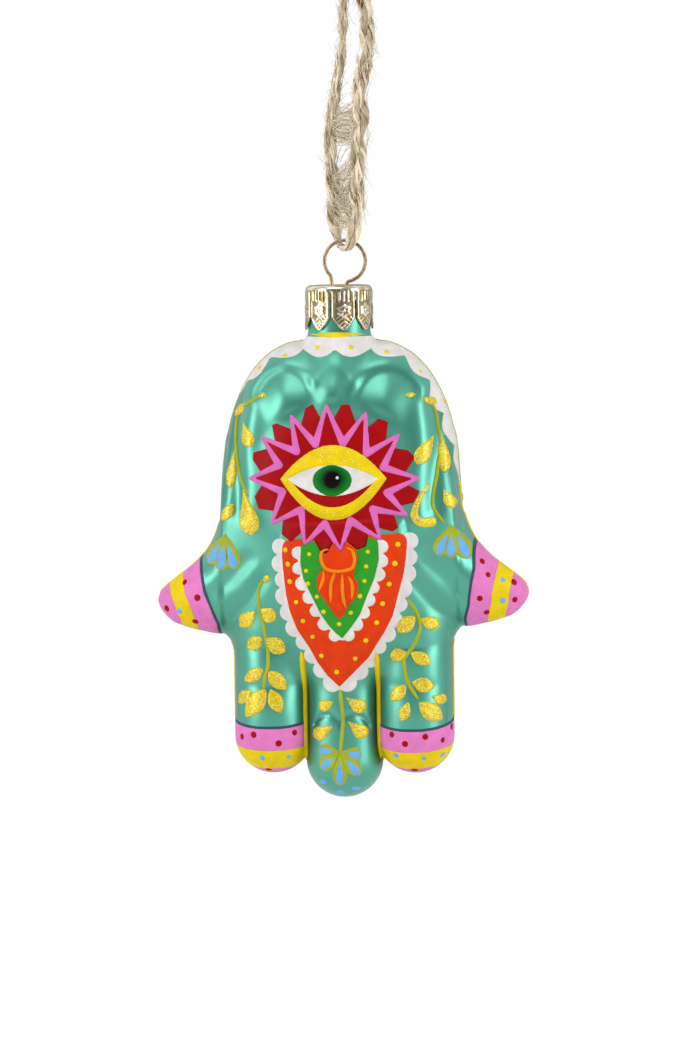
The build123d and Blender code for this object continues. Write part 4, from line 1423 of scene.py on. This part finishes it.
loop_share = twine_run / twine_run[-1]
thickness = [1.9, 1.9, 2.0, 2.3, 2.6, 2.8, 3.0, 3.1, 3.3, 3.4, 3.2, 2.9, 1.9]
loop_thick = np.interp(loop_share, np.linspace(0, 1, len(thickness)), thickness)
from_ring = twine_run - twine_run[np.argmin(twine_line[:, 2])]
loop_thick *= 1 - 0.42 * bell(from_ring / 3.6)
loop_bodies, loop_streaks, loop_frame = plies(twine_line, loop_thick, 16.0, loop_share)
twine = jute_piece("twine_plies", loop_bodies, loop_streaks)
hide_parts("twine_loop")


def loose_fibres(strand, count, long):
    """Thin fibres that leave the twine, run beside it and curl away."""
    middle, ahead, out, over, radius = strand
    bodies = []
    for _ in range(count):
        k = int(chance.choice(np.flatnonzero(middle[3:-3, 2] > CLEAR_OF_RING))) + 3
        turn = chance.uniform(0, 2 * math.pi)
        side = math.cos(turn) * out[k] + math.sin(turn) * over[k]
        way = ahead[k] * chance.choice([-1, 1]) + side * chance.uniform(0.0, 0.35)
        bow = np.cross(ahead[k], side) * chance.uniform(-0.6, 0.6) + side * chance.uniform(-0.25, 0.3)
        t = np.linspace(0, 1, 7)[:, None]
        length = long * chance.uniform(0.3, 1.0)
        line = middle[k] + side * radius[k] * 0.85 + length * (t * way + t**2 * bow)
        bodies.append(tube(line, np.linspace(0.05, 0.025, 7), 4))
    return bodies


def bridging_fibres(strand, count, low, high, slant):
    """Fibres that cross from one strand of the loop to the other, up or down by a chance of the slant."""
    middle = strand[0]
    half = np.argmin(middle[:, 2])
    bodies = []
    for _ in range(count):
        z = chance.uniform(low, high)
        a = np.argmin(np.abs(middle[:half, 2] - z))
        b = half + np.argmin(np.abs(middle[half:, 2] - max(low, z + chance.normal(0, slant))))
        start, stop = middle[a] + chance.normal(0, 0.4, 3), middle[b] + chance.normal(0, 0.4, 3)
        t = np.linspace(0, 1, 8)[:, None]
        sag = chance.normal(0, 0.9, 3) + (0, 0, -0.4)
        bodies.append(tube(start + t * (stop - start) + 4 * t * (1 - t) * sag, 0.045, 4))
    return bodies


fuzz_bodies = loose_fibres(loop_frame, 1000, 3.2) + bridging_fibres(loop_frame, 170, -36.5, -30.5, 2.0)
fuzz_bodies += bridging_fibres(loop_frame, 260, -53.0, -43.5, 6.0)
fuzz_streaks = [np.full(len(p), chance.uniform(-0.2, 0.5)) for p, _ in fuzz_bodies]
fuzz = jute_piece("twine_fuzz", fuzz_bodies, fuzz_streaks)
print("twine has", len(loop_bodies), "slivers and", len(fuzz_bodies), "loose fibres")

# %% [markdown]
# Above the view the twine is tied in an overhand knot with two short ends. The knot is two turns of twine
# along the curve of that knot, round a short core that stands for what is pulled tight inside.

# %% knot and ends
KNOT_MIDDLE = np.array([0, 0, 6.3])
KNOT_WIDE, KNOT_HIGH, CORE = 0.66, 1.75, 2.6


def winding(shift):
    """One turn of the overhand knot's curve."""
    t = np.linspace(0, 2 * math.pi, 90)
    x, y = np.sin(t + shift) + 2 * np.sin(2 * t), np.cos(t + shift) - 2 * np.cos(2 * t)
    return np.stack([x * KNOT_WIDE, y * KNOT_WIDE, -np.sin(3 * t) * KNOT_HIGH], 1) + KNOT_MIDDLE


def twisted(name, lines, pitch):
    """One piece of several lengths of twine, each a line and how thick it is."""
    bodies, streaks = [], []
    for line, thick in lines:
        more_bodies, more_streaks, _ = plies(line, [thick], pitch)
        bodies += more_bodies
        streaks += more_streaks
    return jute_piece(name, bodies, streaks)


core = np.array([(0, 0, 3.1), (0.2, 0.1, 5.0), (-0.2, 0, 7.5), (0, 0, 9.4)])
knot = twisted("twine_knot_windings", [(winding(0.0), TWINE), (winding(0.42), TWINE), (core, CORE)], 9.0)
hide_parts("twine_knot")
end_line = ((0.9, 0, 9.2), (1.5, 0.1, 12.0), (2.1, -0.1, 15.2), (2.5, 0, 18.2))
end_lines = [flowing([(sign * x, y, z) for x, y, z in end_line]) for sign in (-1, 1)]
ends = twisted("twine_ends", [(line, TWINE) for line in end_lines], 11.0)
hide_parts("twine_tails")
print("knot and two ends")
